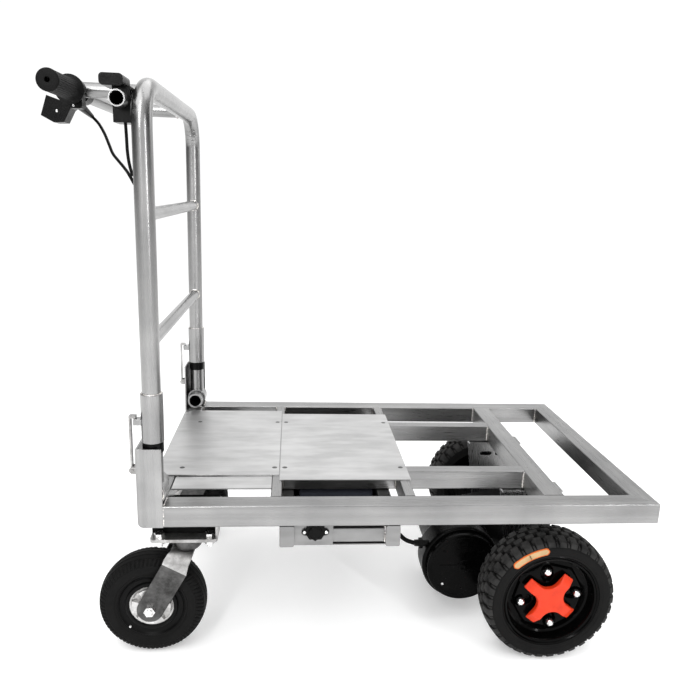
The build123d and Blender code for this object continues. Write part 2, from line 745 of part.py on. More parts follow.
with BuildPart() as motor_end_cap:
    bar_along_y(motor_x, motor_z, motor_face_r, motor_end, motor_end + 16)
    fillet(motor_end_cap.edges().group_by(Axis.Y)[0], radius=2.5)
motor_end_cap.part.label = "motor_end_cap"
export_step(motor_end_cap.part, "parts/motor_end_cap.step")

gland_z = motor_z + 38
gland_y = -124
gland_tip = motor_x - 98
with BuildPart() as cable_gland:
    with BuildSketch(end_plane(gland_tip, gland_y, gland_z)):
        Circle(7)
    extrude(amount=40)
    with BuildSketch(end_plane(gland_tip + 9, gland_y, gland_z)):
        RegularPolygon(11, 6)
    extrude(amount=8)
    bar_along_y(motor_x, motor_z, motor_r, -200, 0, mode=Mode.SUBTRACT)
cable_gland.part.label = "cable_gland"
export_step(cable_gland.part, "parts/cable_gland.step")

power_d = 9
power_start = tray_front + tray_tube / 2
power_route = [(power_start, gland_y - 8, under - 20), (power_start + 2, gland_y - 7, under - 44),
               (power_start + 7, gland_y - 5, under - 67), (power_start + 15, gland_y - 3, under - 89),
               (power_start + 27, gland_y - 1, under - 109), (power_start + 43, gland_y, under - 125),
               (gland_tip, gland_y, gland_z)]
with BuildPart() as power_cable:
    cord(power_route, power_d)
power_cable.part.label = "power_cable"
export_step(power_cable.part, "parts/power_cable.step")

with BuildPart() as axle_brackets:
    for side, s in SIDES:
        low_y = s * inner_y - 2
        with BuildSketch(face_plane(0, low_y, 0)):
            with BuildLine():
                Polyline((rear_x - 66, under), (rear_x + 60, under), (rear_x + 40, rear_z - 8),
                         (rear_x + 24, rear_z - 34), (rear_x - 24, rear_z - 34), (rear_x - 40, rear_z - 8),
                         (rear_x - 66, under))
            make_face()
            with Locations((rear_x, rear_z)):
                Circle(axle_tube_r, mode=Mode.SUBTRACT)
            with Locations((rear_x - 18, under - 36), (rear_x + 20, under - 36)):
                SlotOverall(30, 11, mode=Mode.SUBTRACT)
        extrude(amount=-4)
        box_between((rear_x - 66, s * inner_y - 22, under - 4), (rear_x + 60, s * inner_y + 22, under))
axle_brackets.part.label = "axle_brackets"
export_step(axle_brackets.part, "parts/axle_brackets.step")

# ---------------------------------------------------------------- driven wheels
rim_r = 95
nut_pcd = 110
nut_turn = 8
cap_reach = 57
cap_arm = 11
cap_notch_r = 22.8
for side, s in SIDES:
    with BuildPart() as rear_hub:
        with BuildSketch(spin_plane(rear_x, s * rear_y, rear_z, s)):
            with BuildLine():
                Polyline((-160, 0), (-160, shaft_r), (-rear_tyre_half - 12, shaft_r),
                         (-rear_tyre_half - 12, 30), (6, 30),
                         (6, 68), (12, 68), (12, 16), (26, 16), (26, 0), (-160, 0))
            make_face()
        revolve(axis=Axis((rear_x, 0, rear_z), (0, 1, 0)))
        for quarter in range(4):
            turn = math.radians(90 * quarter + nut_turn)
            stud_x = rear_x + nut_pcd / 2 * math.cos(turn)
            stud_z = rear_z + nut_pcd / 2 * math.sin(turn)
            bar_along_y(stud_x, stud_z, 5, s * (rear_y + 8), s * (rear_y + 20))
            with BuildSketch(face_plane(stud_x, s * (rear_y + 17), stud_z)):
                RegularPolygon(9.5, 6)
            extrude(amount=-s * 9)
    rear_hub.part.label = f"rear_hub_{side}"
    export_step(rear_hub.part, f"parts/rear_hub_{side}.step")

    with BuildPart() as rear_rim:
        with BuildSketch(spin_plane(rear_x, s * rear_y, rear_z, s)):
            with BuildLine():
                Polyline((12, 16.5), (17, 16.5), (17, 74), (22, 80), (36, 84), (36, 90), (38, 92),
                         (38, rim_r),
                         (-38, rim_r), (-38, 84), (-34, 84), (-34, 88), (12, 80), (12, 16.5))
            make_face()
        revolve(axis=Axis((rear_x, 0, rear_z), (0, 1, 0)))
        for quarter in range(4):
            turn = math.radians(90 * quarter + nut_turn)
            stud_x = rear_x + nut_pcd / 2 * math.cos(turn)
            stud_z = rear_z + nut_pcd / 2 * math.sin(turn)
            bar_along_y(stud_x, stud_z, 5, s * (rear_y + 10), s * (rear_y + 20), mode=Mode.SUBTRACT)
    rear_rim.part.label = f"rear_rim_{side}"
    export_step(rear_rim.part, f"parts/rear_rim_{side}.step")

    with BuildPart() as rear_tyre:
        half = rear_tyre_half
        with BuildSketch(spin_plane(rear_x, s * rear_y, rear_z, s)):
            with BuildLine():
                Polyline((-38, rim_r), (38, rim_r), (half, 100), (half, 112), (half - 6, rear_r - 5),
                         (half - 12, rear_r), (12 - half, rear_r), (6 - half, rear_r - 5), (-half, 112),
                         (-half, 100), (-38, rim_r))
            make_face()
        revolve(axis=Axis((rear_x, 0, rear_z), (0, 1, 0)))
    rear_tyre.part.label = f"rear_tyre_{side}"
    export_step(rear_tyre.part, f"parts/rear_tyre_{side}.step")

    with BuildPart() as hub_cap:
        with BuildSketch(face_plane(rear_x, s * (rear_y + 26), rear_z)):
            for turn in (45, 135):
                Rectangle(2 * cap_reach, 2 * cap_arm, rotation=nut_turn + turn)
            fillet(vertices().sort_by_distance((0, 0, 0))[:4], radius=cap_notch_r)
        extrude(amount=-s * 10)
        fillet(hub_cap.edges().group_by(Axis.Y)[-1 if s > 0 else 0], radius=1.5)
        with BuildSketch(face_plane(rear_x, s * (rear_y + 17), rear_z)):
            Circle(21)
            Circle(16.5, mode=Mode.SUBTRACT)
        extrude(amount=-s * 10)
    hub_cap.part.label = f"hub_cap_{side}"
    export_step(hub_cap.part, f"parts/hub_cap_{side}.step")
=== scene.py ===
import math
import random

import bmesh
import bpy
from mathutils import Matrix, Vector


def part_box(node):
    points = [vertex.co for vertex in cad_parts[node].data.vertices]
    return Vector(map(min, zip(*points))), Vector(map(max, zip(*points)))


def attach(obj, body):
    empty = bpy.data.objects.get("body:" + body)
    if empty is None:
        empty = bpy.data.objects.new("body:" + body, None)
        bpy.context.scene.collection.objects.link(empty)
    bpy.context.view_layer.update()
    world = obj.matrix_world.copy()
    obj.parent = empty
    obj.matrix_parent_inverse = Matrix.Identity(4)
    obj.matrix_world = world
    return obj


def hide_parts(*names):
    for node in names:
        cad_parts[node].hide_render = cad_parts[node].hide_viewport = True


# Looks of an electric flatbed hand cart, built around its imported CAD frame.  Metres, +Z up.
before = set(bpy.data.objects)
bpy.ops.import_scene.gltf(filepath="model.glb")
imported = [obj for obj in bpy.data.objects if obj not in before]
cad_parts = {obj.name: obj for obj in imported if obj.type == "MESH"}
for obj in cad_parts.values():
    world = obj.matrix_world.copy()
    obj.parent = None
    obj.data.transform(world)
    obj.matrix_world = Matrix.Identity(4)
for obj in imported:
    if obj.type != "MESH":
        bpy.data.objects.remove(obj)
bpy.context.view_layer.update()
random.seed(7)
MM = 0.001
QUARTER = math.pi / 2
SIDES = (("left", 1), ("right", -1))
NEAR = Vector((0, -1, 0))
UPWARDS = Vector((0, 0, 1))


# ------------------------------------------------------------------------------- places in the frame
def middle(node):
    low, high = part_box(node)
    return (low + high) / 2


rail_low, rail_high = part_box("side_rail_right")
member_low, member_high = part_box("wide_crossmember")
DECK_TOP = rail_high.z
UNDER = rail_low.z
BACK = rail_low.x
HALF_WIDTH = -rail_low.y
TUBE = rail_high.y - rail_low.y
handle_low, handle_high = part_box("handle_frame")
POST_R = (handle_high.x - handle_low.x) / 2
POST_X = middle("handle_frame").x
POST_Y = handle_high.y - POST_R
BAR = middle("handlebar")
BAR_R = (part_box("handlebar")[1].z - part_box("handlebar")[0].z) / 2
PIVOT_Z = middle("pivot_tubes").z
rear_low, rear_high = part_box("rear_tyre_right")
REAR_R = (rear_high.z - rear_low.z) / 2
REAR_HALF = (rear_high.y - rear_low.y) / 2
MOTOR = middle("motor_end_cap")


# ------------------------------------------------------------------------------- material nodes
def map_range(tree, value, start, stop, low, high):
    """Number that runs from low to high as value runs from start to stop."""
    spread = tree.nodes.new("ShaderNodeMapRange")
    for key, number in (("From Min", start), ("From Max", stop), ("To Min", low), ("To Max", high)):
        spread.inputs[key].default_value = number
    tree.links.new(value, spread.inputs["Value"])
    return spread.outputs["Result"]


class Paint:
    """A Principled material and the few node idioms that its makers share."""

    def __init__(self, name, colour, roughness, metallic=0.0, shine=None):
        self.material = bpy.data.materials.new(name)
        self.material.use_nodes = True
        self.tree = self.material.node_tree
        self.shader = self.tree.nodes["Principled BSDF"]
        self.shader.inputs["Base Color"].default_value = (*colour, 1)
        self.shader.inputs["Roughness"].default_value = roughness
        self.shader.inputs["Metallic"].default_value = metallic
        if shine is not None:
            self.shader.inputs["Specular IOR Level"].default_value = shine
        self.where = self.tree.nodes.new("ShaderNodeTexCoord").outputs["Object"]
        self.height = None

    def node(self, kind):
        return self.tree.nodes.new(kind)

    def link(self, source, target):
        self.tree.links.new(source, target)

    def noise(self, scale, stretch=(1, 1, 1), detail=4.0, rough=0.55):
        """Noise value over the surface, stretched along the axes by the given factors."""
        mapping = self.node("ShaderNodeMapping")
        mapping.inputs["Scale"].default_value = stretch
        texture = self.node("ShaderNodeTexNoise")
        texture.inputs["Scale"].default_value = scale
        texture.inputs["Detail"].default_value = detail
        texture.inputs["Roughness"].default_value = rough
        self.link(self.where, mapping.inputs["Vector"])
        self.link(mapping.outputs["Vector"], texture.inputs["Vector"])
        return texture.outputs["Fac"]

    def cells(self, scale):
        """Value from 0 to 1 that is constant within each Voronoi cell."""
        texture = self.node("ShaderNodeTexVoronoi")
        texture.inputs["Scale"].default_value = scale
        self.link(self.where, texture.inputs["Vector"])
        value = self.node("ShaderNodeRGBToBW")
        self.link(texture.outputs["Color"], value.inputs["Color"])
        return value.outputs["Val"]

    def ramp(self, value, low, high, start=0.3, stop=0.7):
        """Colour that runs from low to high as value runs from start to stop."""
        ramp = self.node("ShaderNodeValToRGB")
        ramp.color_ramp.elements[0].position = start
        ramp.color_ramp.elements[0].color = (*low, 1)
        ramp.color_ramp.elements[1].position = stop
        ramp.color_ramp.elements[1].color = (*high, 1)
        self.link(value, ramp.inputs["Fac"])
        return ramp.outputs["Color"]

    def spread(self, value, low, high, start=0.25, stop=0.75):
        """Number that runs from low to high as value runs from start to stop."""
        return map_range(self.tree, value, start, stop, low, high)

    def mix(self, factor, first, second, blend="MIX"):
        mix = self.node("ShaderNodeMix")
        mix.data_type = "RGBA"
        mix.blend_type = blend
        mix.inputs["Factor"].default_value = factor
        self.link(first, mix.inputs["A"])
        self.link(second, mix.inputs["B"])
        return mix.outputs["Result"]

    def colour(self, output):
        self.link(output, self.shader.inputs["Base Color"])

    def roughness(self, output):
        self.link(output, self.shader.inputs["Roughness"])

    def bump(self, value, depth, strength):
        """Adds relief of the given depth in metres on top of the relief made before it."""
        bump = self.node("ShaderNodeBump")
        bump.inputs["Strength"].default_value = strength
        bump.inputs["Distance"].default_value = depth
        self.link(value, bump.inputs["Height"])
        if self.height is not None:
            self.link(self.height, bump.inputs["Normal"])
        self.height = bump.outputs["Normal"]
        self.link(self.height, self.shader.inputs["Normal"])


def grey(value, warmth=0.0):
    return (value * (1 + warmth), value, value * (1 - warmth))


def satin_steel(name, along, light=0.34, dark=0.26, rough=(0.24, 0.36), grain=900.0):
    """Ground stainless tube: fine scratches that run along one axis, over soft cloudy patches."""
    paint = Paint(name, grey(light), rough[0], metallic=1.0)
    stretch = [1.0, 1.0, 1.0]
    stretch["XYZ".index(along)] = 0.02
    scratches = paint.noise(grain, stretch, detail=3.0)
    clouds = paint.noise(9.0, (1, 1, 1), detail=3.0)
    streaks = paint.noise(60.0, stretch, detail=2.0)
    base = paint.ramp(clouds, grey(dark), grey(light, 0.005))
    worn = paint.ramp(streaks, grey(0.82), grey(1.0), 0.35, 0.65)
    paint.colour(paint.mix(1.0, base, worn, "MULTIPLY"))
    paint.roughness(paint.spread(scratches, *rough))
    paint.bump(scratches, 0.00003, 0.6)
    paint.bump(clouds, 0.0004, 0.25)
    return paint.material


def brushed_sheet(name, light=0.56, dark=0.43):
    """Brushed cover plate: cross-brushed grain, faint hand marks and dents."""
    paint = Paint(name, grey(0.5), 0.4, metallic=1.0)
    grain = paint.noise(700.0, (1, 0.03, 1), detail=3.0)
    smudges = paint.noise(5.0, (1.0, 1.6, 1), detail=6.0, rough=0.62)
    rubs = paint.noise(40.0, (0.25, 1, 1), detail=2.0)
    base = paint.ramp(smudges, grey(dark), grey(light, 0.004), 0.35, 0.62)
    rubbed = paint.ramp(rubs, grey(0.93 * dark), grey(1.07 * light), 0.4, 0.6)
    paint.colour(paint.mix(0.35, base, rubbed))
    paint.roughness(paint.spread(smudges, 0.50, 0.34))
    paint.bump(grain, 0.00003, 0.6)
    paint.bump(smudges, 0.0008, 0.2)
    return paint.material


def zinc(name, light=0.5, dark=0.24):
    """Zinc plate with a soft spangle and handling marks."""
    paint = Paint(name, grey(light), 0.35, metallic=1.0)
    marks = paint.noise(28.0, detail=6.0, rough=0.7)
    base = paint.ramp(marks, grey(dark, 0.02), grey(light, 0.01), 0.32, 0.62)
    tint = paint.ramp(paint.cells(160.0), grey(0.86), grey(1.0))
    paint.colour(paint.mix(1.0, base, tint, "MULTIPLY"))
    paint.roughness(paint.spread(marks, 0.5, 0.24))
    paint.bump(marks, 0.0003, 0.35)
    return paint.material


def bright_metal(name, light=0.8):
    """Plated nut or screw: bright, with fine turning marks and a little grime."""
    paint = Paint(name, grey(light), 0.2, metallic=1.0)
    grime = paint.noise(220.0, detail=5.0)
    paint.colour(paint.ramp(grime, grey(0.42, 0.03), grey(light), 0.3, 0.52))
    paint.roughness(paint.spread(grime, 0.34, 0.14))
    paint.bump(paint.noise(1400.0, detail=2.0), 0.00003, 0.5)
    return paint.material


def weld_metal(name):
    """Weld bead: silvery ripple with straw and blue heat tint."""
    paint = Paint(name, grey(0.7), 0.3, metallic=1.0)
    heat = paint.noise(110.0, detail=3.0)
    tint = paint.ramp(heat, (0.46, 0.44, 0.45), (0.86, 0.83, 0.78), 0.38, 0.6)
    paint.colour(tint)
    paint.roughness(paint.spread(heat, 0.45, 0.22))
    paint.bump(paint.noise(900.0, detail=3.0), 0.0001, 0.6)
    return paint.material


def tyre_rubber(name, light=0.006, dark=0.0022, shine=0.11):
    """Moulded tyre rubber: dusty black with a pebbled skin."""
    paint = Paint(name, grey(light), 0.62, shine=shine)
    dust = paint.noise(35.0, detail=7.0, rough=0.65)
    paint.colour(paint.ramp(dust, grey(dark), grey(light, 0.03), 0.35, 0.7))
    paint.roughness(paint.spread(dust, 0.55, 0.78))
    paint.bump(paint.noise(1500.0, detail=3.0), 0.00008, 0.5)
    paint.bump(dust, 0.0003, 0.25)
    return paint.material


def moulded_plastic(name, colour, roughness, grain=2200.0, shine=0.08):
    """Injection-moulded plastic: a fine spark texture and slightly uneven gloss."""
    paint = Paint(name, colour, roughness, shine=shine)
    patches = paint.noise(45.0, detail=4.0)
    darker = tuple(c * 0.78 for c in colour)
    paint.colour(paint.ramp(patches, darker, colour, 0.3, 0.6))
    paint.roughness(paint.spread(patches, roughness + 0.1, roughness - 0.07))
    paint.bump(paint.noise(grain, detail=2.0), 0.00006, 0.5)
    return paint.material


def gloss_enamel(name, colour, roughness=0.16):
    """Sprayed enamel over metal: deep gloss, orange peel and a few dull rubs."""
    paint = Paint(name, colour, roughness, shine=0.06)
    rubs = paint.noise(24.0, detail=6.0, rough=0.7)
    lighter = tuple(c * 1.8 + 0.001 for c in colour)
    paint.colour(paint.ramp(rubs, colour, lighter, 0.45, 0.8))
    paint.roughness(paint.spread(rubs, roughness, roughness + 0.25, 0.4, 0.75))
    paint.bump(paint.noise(420.0, detail=2.0), 0.00005, 0.4)
    return paint.material


def soft_grip(name):
    """Soft grip rubber: matte black with a pebbled skin."""
    paint = Paint(name, grey(0.005), 0.6, shine=0.1)
    skin = paint.noise(900.0, detail=3.0)
    paint.colour(paint.ramp(skin, grey(0.003), grey(0.008)))
    paint.roughness(paint.spread(skin, 0.68, 0.5))
    paint.bump(skin, 0.00012, 0.6)
    return paint.material


MATERIALS = {
    "tube_x": satin_steel("satin steel along X", "X"),
    "tube_y": satin_steel("satin steel along Y", "Y"),
    "tube_z": satin_steel("satin steel along Z", "Z", light=0.38, dark=0.28, rough=(0.22, 0.33)),
    "sheet": brushed_sheet("brushed sheet"),
    "tray_sheet": brushed_sheet("brushed tray sheet", 0.27, 0.19),
    "zinc": zinc("zinc plate"),
    # painted shade: a darkened copy of the zinc plate, for the caster forks below the plates and the
    # controller under the deck; the deck screws take it too
    "zinc_dark": zinc("zinc plate with painted shade", 0.12, 0.04),
    "bright": bright_metal("bright plated steel"),
    "weld": weld_metal("weld bead"),
    "tyre": tyre_rubber("tyre rubber"),
    # painted shade: near-black sleeves inside the open tube ends stand in for the shadow there
    "tube_shade": moulded_plastic("painted shade in tube ends", grey(0.002), 0.6, shine=0.05),
    "tread": tyre_rubber("worn tread rubber", 0.030, 0.004, 0.22),
    "rim_black": moulded_plastic("black moulded rim", grey(0.0035), 0.34),
    "control_black": moulded_plastic("black moulded controls", grey(0.0035), 0.24),
    "orange": moulded_plastic("orange moulded cap", (0.68, 0.038, 0.008), 0.33, shine=0.25),
    "enamel": gloss_enamel("black enamel", grey(0.0008)),
    "gearcase": gloss_enamel("gear case paint", grey(0.003), 0.3),
    "frame_black": gloss_enamel("black spacer paint", grey(0.003), 0.34),
    "grip": soft_grip("grip rubber"),
    "sheath": moulded_plastic("cable sheath", grey(0.003), 0.45, 1200.0),
    "case_grey": moulded_plastic("battery case", (0.05, 0.055, 0.07), 0.5),
    "cream": moulded_plastic("cream patch", (0.50, 0.34, 0.18), 0.4),
    "patch_edge": moulded_plastic("orange patch edge", (0.58, 0.13, 0.03), 0.4),
    "rim_gloss": gloss_enamel("gloss black rim", grey(0.0008), 0.11),
    "chrome": bright_metal("domed chrome", 0.86),
    "pressed": zinc("pressed hub metal", 0.66, 0.34),
}

NODE_FINISH = {
    "tube_x": ["side_rail_left", "side_rail_right", "inner_rails", "handle_arms"],
    "tube_y": ["front_end_member", "handle_end_member", "wide_crossmember",
               "narrow_crossmembers", "handle_rungs", "handlebar", "pivot_tubes"],
    "tube_z": ["handle_frame", "handle_feet", "handle_brackets", "axle_brackets"],
    "sheet": ["back_deck_plate", "front_deck_plate"],
    "tray_sheet": ["battery_tray"],
    "zinc": ["caster_plates", "latch_bases", "latch_lever_left", "latch_lever_right"],
    "zinc_dark": ["controller", "plate_screws"],
    "bright": ["caster_bolts", "caster_axle_left", "caster_axle_right"],
    "frame_black": ["caster_spacers"],
    "gearcase": ["axle_housing"],
    "enamel": ["motor_can", "motor_end_cap", "rear_hub_left", "rear_hub_right"],
    "control_black": ["charge_socket", "cable_gland", "throttle_housing", "switch_rocker",
                      "power_button", "foot_collars", "switch_box", "meter_box"],
    "sheath": ["power_cable", "handle_cables"],
    "case_grey": ["battery_pack"],
}
for finish, names in NODE_FINISH.items():
    for cad_node in names:
        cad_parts[cad_node].material_slots[0].material = MATERIALS[finish]


# ------------------------------------------------------------------------------- mesh helpers
def finished(name, mesh, material, body, sharp):
    """Object of a mesh, smooth apart from edges above the sharp angle, that rides on a body."""
    work = bmesh.new()
    work.from_mesh(mesh)
    bmesh.ops.remove_doubles(work, verts=work.verts, dist=1e-7)
    bmesh.ops.recalc_face_normals(work, faces=work.faces)
    work.to_mesh(mesh)
    work.free()
    mesh.polygons.foreach_set("use_smooth", [True] * len(mesh.polygons))
    mesh.set_sharp_from_angle(angle=math.radians(sharp))
    mesh.materials.append(MATERIALS[material])
    made = bpy.data.objects.new(name, mesh)
    bpy.context.scene.collection.objects.link(made)
    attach(made, body)
    return made


class Builder:
    """Collects vertices and faces of one mesh piece."""

    def __init__(self):
        self.verts = []
        self.faces = []

    def loft(self, rings, caps=True, wrap=False):
        """Joins rings of equal length with quads; caps the two ends, or wraps the last to the first."""
        first = len(self.verts)
        count = len(rings[0])
        for ring in rings:
            self.verts.extend(ring)
        steps = len(rings) if wrap else len(rings) - 1
        for i in range(steps):
            a = first + i * count
            b = first + ((i + 1) % len(rings)) * count
            for j in range(count):
                k = (j + 1) % count
                self.faces.append((a + j, a + k, b + k, b + j))
        if caps and not wrap:
            self.faces.append(tuple(range(first, first + count))[::-1])
            last = first + (len(rings) - 1) * count
            self.faces.append(tuple(range(last, last + count)))

    def piece(self, name, material, body, slot, sharp=32):
        mesh = bpy.data.meshes.new(name)
        mesh.from_pydata([tuple(v) for v in self.verts], [], self.faces)
        return finished(name, mesh, material, body, sharp)


def smooth(value):
    """Smooth step, with value first held between 0 and 1."""
    value = min(1.0, max(0.0, value))
    return value * value * (3 - 2 * value)


def mirrored(profile):
    """Closes an (axial, radius) profile with its mirror image on the wheel's other face."""
    return profile + [(-axial, radius) for axial, radius in reversed(profile)]


def wheel_point(centre, side, angle, axial, radius):
    """Point on a wheel whose axle runs along Y; axial is measured outwards from the middle."""
    return Vector((centre.x + radius * math.cos(angle), centre.y + side * axial,
                   centre.z + radius * math.sin(angle)))


def turned(builder, centre, side, profile, segments=96, shape=None):
    """Revolves a closed (axial, radius) profile in millimetres; shape may change each point by angle."""
    rings = []
    for i in range(segments):
        angle = 2 * math.pi * i / segments
        ring = []
        for axial, radius in profile:
            if shape:
                axial, radius = shape(axial, radius, angle)
            ring.append(wheel_point(centre, side, angle, axial * MM, radius * MM))
        rings.append(ring)
    builder.loft(rings, wrap=True)


def circle_ring(centre, normal, radius, count):
    """Ring of points round centre, facing along normal."""
    normal = Vector(normal).normalized()
    across = normal.orthogonal().normalized()
    up = normal.cross(across)
    return [centre + across * radius * math.cos(2 * math.pi * i / count)
            + up * radius * math.sin(2 * math.pi * i / count) for i in range(count)]


def coaxial(builder, at, out, profile, count=20, caps=True):
    """Rings on one axis that leaves at along out, from a (reach, radius) profile in millimetres."""
    builder.loft([circle_ring(at + out * reach * MM, out, radius * MM, count)
                  for reach, radius in profile], caps)


def rod(builder, path, radius, count, wobble=0.0):
    """Round rod along a list of points; wobble makes it rippled like a weld bead."""
    rings = []
    for i, point in enumerate(path):
        ahead = path[min(i + 1, len(path) - 1)]
        behind = path[max(i - 1, 0)]
        scale = 1.0 + wobble * (0.5 * math.sin(2.1 * i) + random.uniform(-0.5, 0.5))
        end = 0.45 if wobble and i in (0, len(path) - 1) else 1.0
        rings.append(circle_ring(Vector(point), ahead - behind, radius * scale * end, count))
    builder.loft(rings)


def prism(name, outline, y_from, y_to, bevel, material, body, slot):
    """Bevelled block whose outline lies in the XZ plane, in metres, extruded along Y."""
    mesh = bpy.data.meshes.new(name)
    work = bmesh.new()
    verts = [work.verts.new((x, y_from, z)) for x, z in outline]
    face = work.faces.new(verts)
    out = bmesh.ops.extrude_face_region(work, geom=[face])
    moved = [v for v in out["geom"] if isinstance(v, bmesh.types.BMVert)]
    bmesh.ops.translate(work, verts=moved, vec=(0, y_to - y_from, 0))
    bmesh.ops.bevel(work, geom=list(work.edges), offset=bevel, segments=3, profile=0.7,
                    affect="EDGES", clamp_overlap=True)
    work.to_mesh(mesh)
    work.free()
    return finished(name, mesh, material, body, 40)


def crisp_edges(width, *nodes):
    """Small rounded edges on boxy CAD nodes."""
    for name in nodes:
        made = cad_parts[name]
        weld = made.modifiers.new("weld", "WELD")
        weld.merge_threshold = 1e-5
        bevel = made.modifiers.new("edge", "BEVEL")
        bevel.width = width
        bevel.segments = 2
        bevel.limit_method = "ANGLE"
        bevel.angle_limit = math.radians(38)
        bevel.harden_normals = False
        normals = made.modifiers.new("normals", "WEIGHTED_NORMAL")
        normals.keep_sharp = False


# ------------------------------------------------------------------------------- driven wheels
TREAD_COUNT = 34
NUT_CIRCLE = 55.0
NUT_TURNS = [math.radians(8) + k * QUARTER for k in range(4)]


def crown(axial, sunk=0.0):
    """The (axial, radius) point of the tread at that distance from the tyre's middle, in millimetres."""
    return axial, REAR_R / MM - 0.1 - 0.0036 * axial * axial - sunk


def tread_block(builder, centre, side, turn, section, half_arc):
    """Raised block: its (axial, radius) section in millimetres, drawn out along the tyre's girth."""
    mid = [sum(values) / len(section) for values in zip(*section)]
    rings = []
    for step, scale in ((-1.0, 0.86), (-0.9, 1.0), (-0.3, 1.0), (0.3, 1.0), (0.9, 1.0), (1.0, 0.86)):
        angle = turn + step * half_arc / (REAR_R / MM)
        rings.append([wheel_point(centre, side, angle, (mid[0] + (axial - mid[0]) * scale) * MM,
                                  (mid[1] + (radius - mid[1]) * scale) * MM)
                      for axial, radius in section])
    builder.loft(rings)


def rear_tyre(label, side):
    centre = middle(f"rear_tyre_{label}")
    carcass = Builder()
    half = REAR_HALF / MM
    outer = [(38, 94.6), (39.0, 96.2), (39.4, 99.0), (39.0, 99.6), (39.5, 100.4),
             (half - 0.1, 103.5), (half - 0.1, 110), (39.6, 112.2), (38.9, 112.8), (38.6, 115.5),
             (36, 118.2), (30, 119.6), (10, 120.6)]
    turned(carcass, centre, side, mirrored(outer), 144)
    body = f"rear_wheel_{label}"
    tyre = carcass.piece(f"rear_tyre_{label}_carcass", "tyre", body, "tyre_rubber")
    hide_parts(f"rear_tyre_{label}")

    shoulder_lug = ((15.0, 118.0), crown(15.6), crown(24), crown(31), crown(35.4, 0.8), (38.2, 118.6),
                    (39.4, 114.6), (38.2, 113.6), (34, 117.0), (26, 118.0))
    low_step = ((19.0, 118.0), crown(19.6, 1.2), crown(25.0, 1.2), (25.6, 118.0))
    side_nub = ((30.0, 117.0), (30.6, 121.4), (36.0, 119.6), (38.9, 115.4), (38.4, 114.4), (34, 116.5))
    centre_block = ((1.0, 118.0), crown(1.6), crown(11.4), (12.4, 118.0))
    # each block's section, how far it follows the lug as a part of the pitch, and its half length in mm
    blocks = ((shoulder_lug, 0.0, 7.4), (low_step, 0.36, 2.6), (side_nub, 0.5, 1.9),
              (centre_block, 0.42, 8.2))
    pitch = 2 * math.pi / TREAD_COUNT
    tread = Builder()
    for i in range(TREAD_COUNT):
        for half_side, lead in ((side, 0.0), (-side, 0.5)):
            for section, follow, half_arc in blocks:
                tread_block(tread, centre, half_side, (i + lead + follow) * pitch, section, half_arc)
    tread.piece(f"rear_tyre_{label}_tread", "tread", body, "tyre_rubber", 28)


def nut_pocket(radius, angle):
    """Depth, from 0 to 1, of the dished pocket round the nearest wheel nut."""
    deepest = 0.0
    for turn in NUT_TURNS:
        along = radius * math.cos(angle - turn)
        if along > 0:
            far = math.hypot((along - 49.5) / 18.5, radius * math.sin(angle - turn) / 12.5)
            deepest = max(deepest, (1.0 - far) / 0.2)
    return smooth(deepest)


def rim_plate(axial, radius, angle):
    """Draws the rim's plate out to a soft octagon and sinks the nut pockets into it."""
    if 18.0 < radius < 79.0:
        if radius < 73.5:
            octagon = math.cos(math.pi / 8) / math.cos((angle - NUT_TURNS[0]) % (math.pi / 4) - math.pi / 8)
            blend = min(1.0, max(0.0, (radius - 30.0) / 40.0))
            radius *= 1 + (1.04 * octagon - 1) * blend
        axial -= 8.5 * nut_pocket(radius, angle)
    return axial, radius


def rear_rim_and_hub(label, side):
    centre = middle(f"rear_tyre_{label}")
    body = f"rear_wheel_{label}"
    face = [(19.0, 16.5)] + [(19.5, 20.0 + 2.0 * i) for i in range(23)]
    face += [(19.0, 65.6), (15.4, 69.5), (14.6, 72.5), (14.8, 76.5), (17.0, 80.0), (26.0, 82.6),
             (33.0, 84.2), (35.2, 85.2), (36.2, 87.0), (36.4, 88.6), (35.6, 89.4), (36.6, 90.2),
             (38.0, 91.6), (38.2, 93.4), (37.2, 95.0)]
    back = [(-38, 95), (-38, 85), (-34, 84.5), (-33, 88), (0, 83), (8, 80), (8, 16.5)]
    builder = Builder()
    turned(builder, centre, side, face + back, 192, rim_plate)
    rim = builder.piece(f"rear_rim_{label}_pressed", "rim_gloss", body, "black_steel", 26)
    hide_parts(f"rear_rim_{label}")

    shaft = Builder()
    turned(shaft, centre, side, [(-160, 0.3), (-160, 11.4), (-159.4, 12), (-53, 12), (-52, 13), (-52, 29),
                                 (-51, 30), (5, 30), (6, 31), (6, 67), (7, 68), (7.9, 68), (7.9, 16.4),
                                 (25, 16), (25, 0.3)], 72)
    hub = shaft.piece(f"rear_hub_{label}_turned", "enamel", body, "black_steel")
    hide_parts(f"rear_hub_{label}")

    dome = ((19.5, 7.9), (20.5, 8.3), (23.0, 8.3), (26.2, 7.6), (28.4, 6.2), (30.0, 4.1), (30.8, 1.9),
            (30.9, 0.5))
    nuts, seats = Builder(), Builder()
    for turn in NUT_TURNS:
        at = wheel_point(centre, side, turn, 0, NUT_CIRCLE * MM)
        nuts.loft([[wheel_point(at, side, 2 * math.pi * j / 36, axial * MM, radius * MM) for j in range(36)]
                   for axial, radius in dome])
        coaxial(seats, at, Vector((0, side, 0)), ((10.0, 8.6), (17.0, 8.6), (19.6, 7.6)), 6)
    nuts.piece(f"rear_nuts_{label}", "chrome", body, "zinc_fasteners", 40)
    seats.piece(f"rear_nut_seats_{label}", "enamel", body, "black_steel", 40)


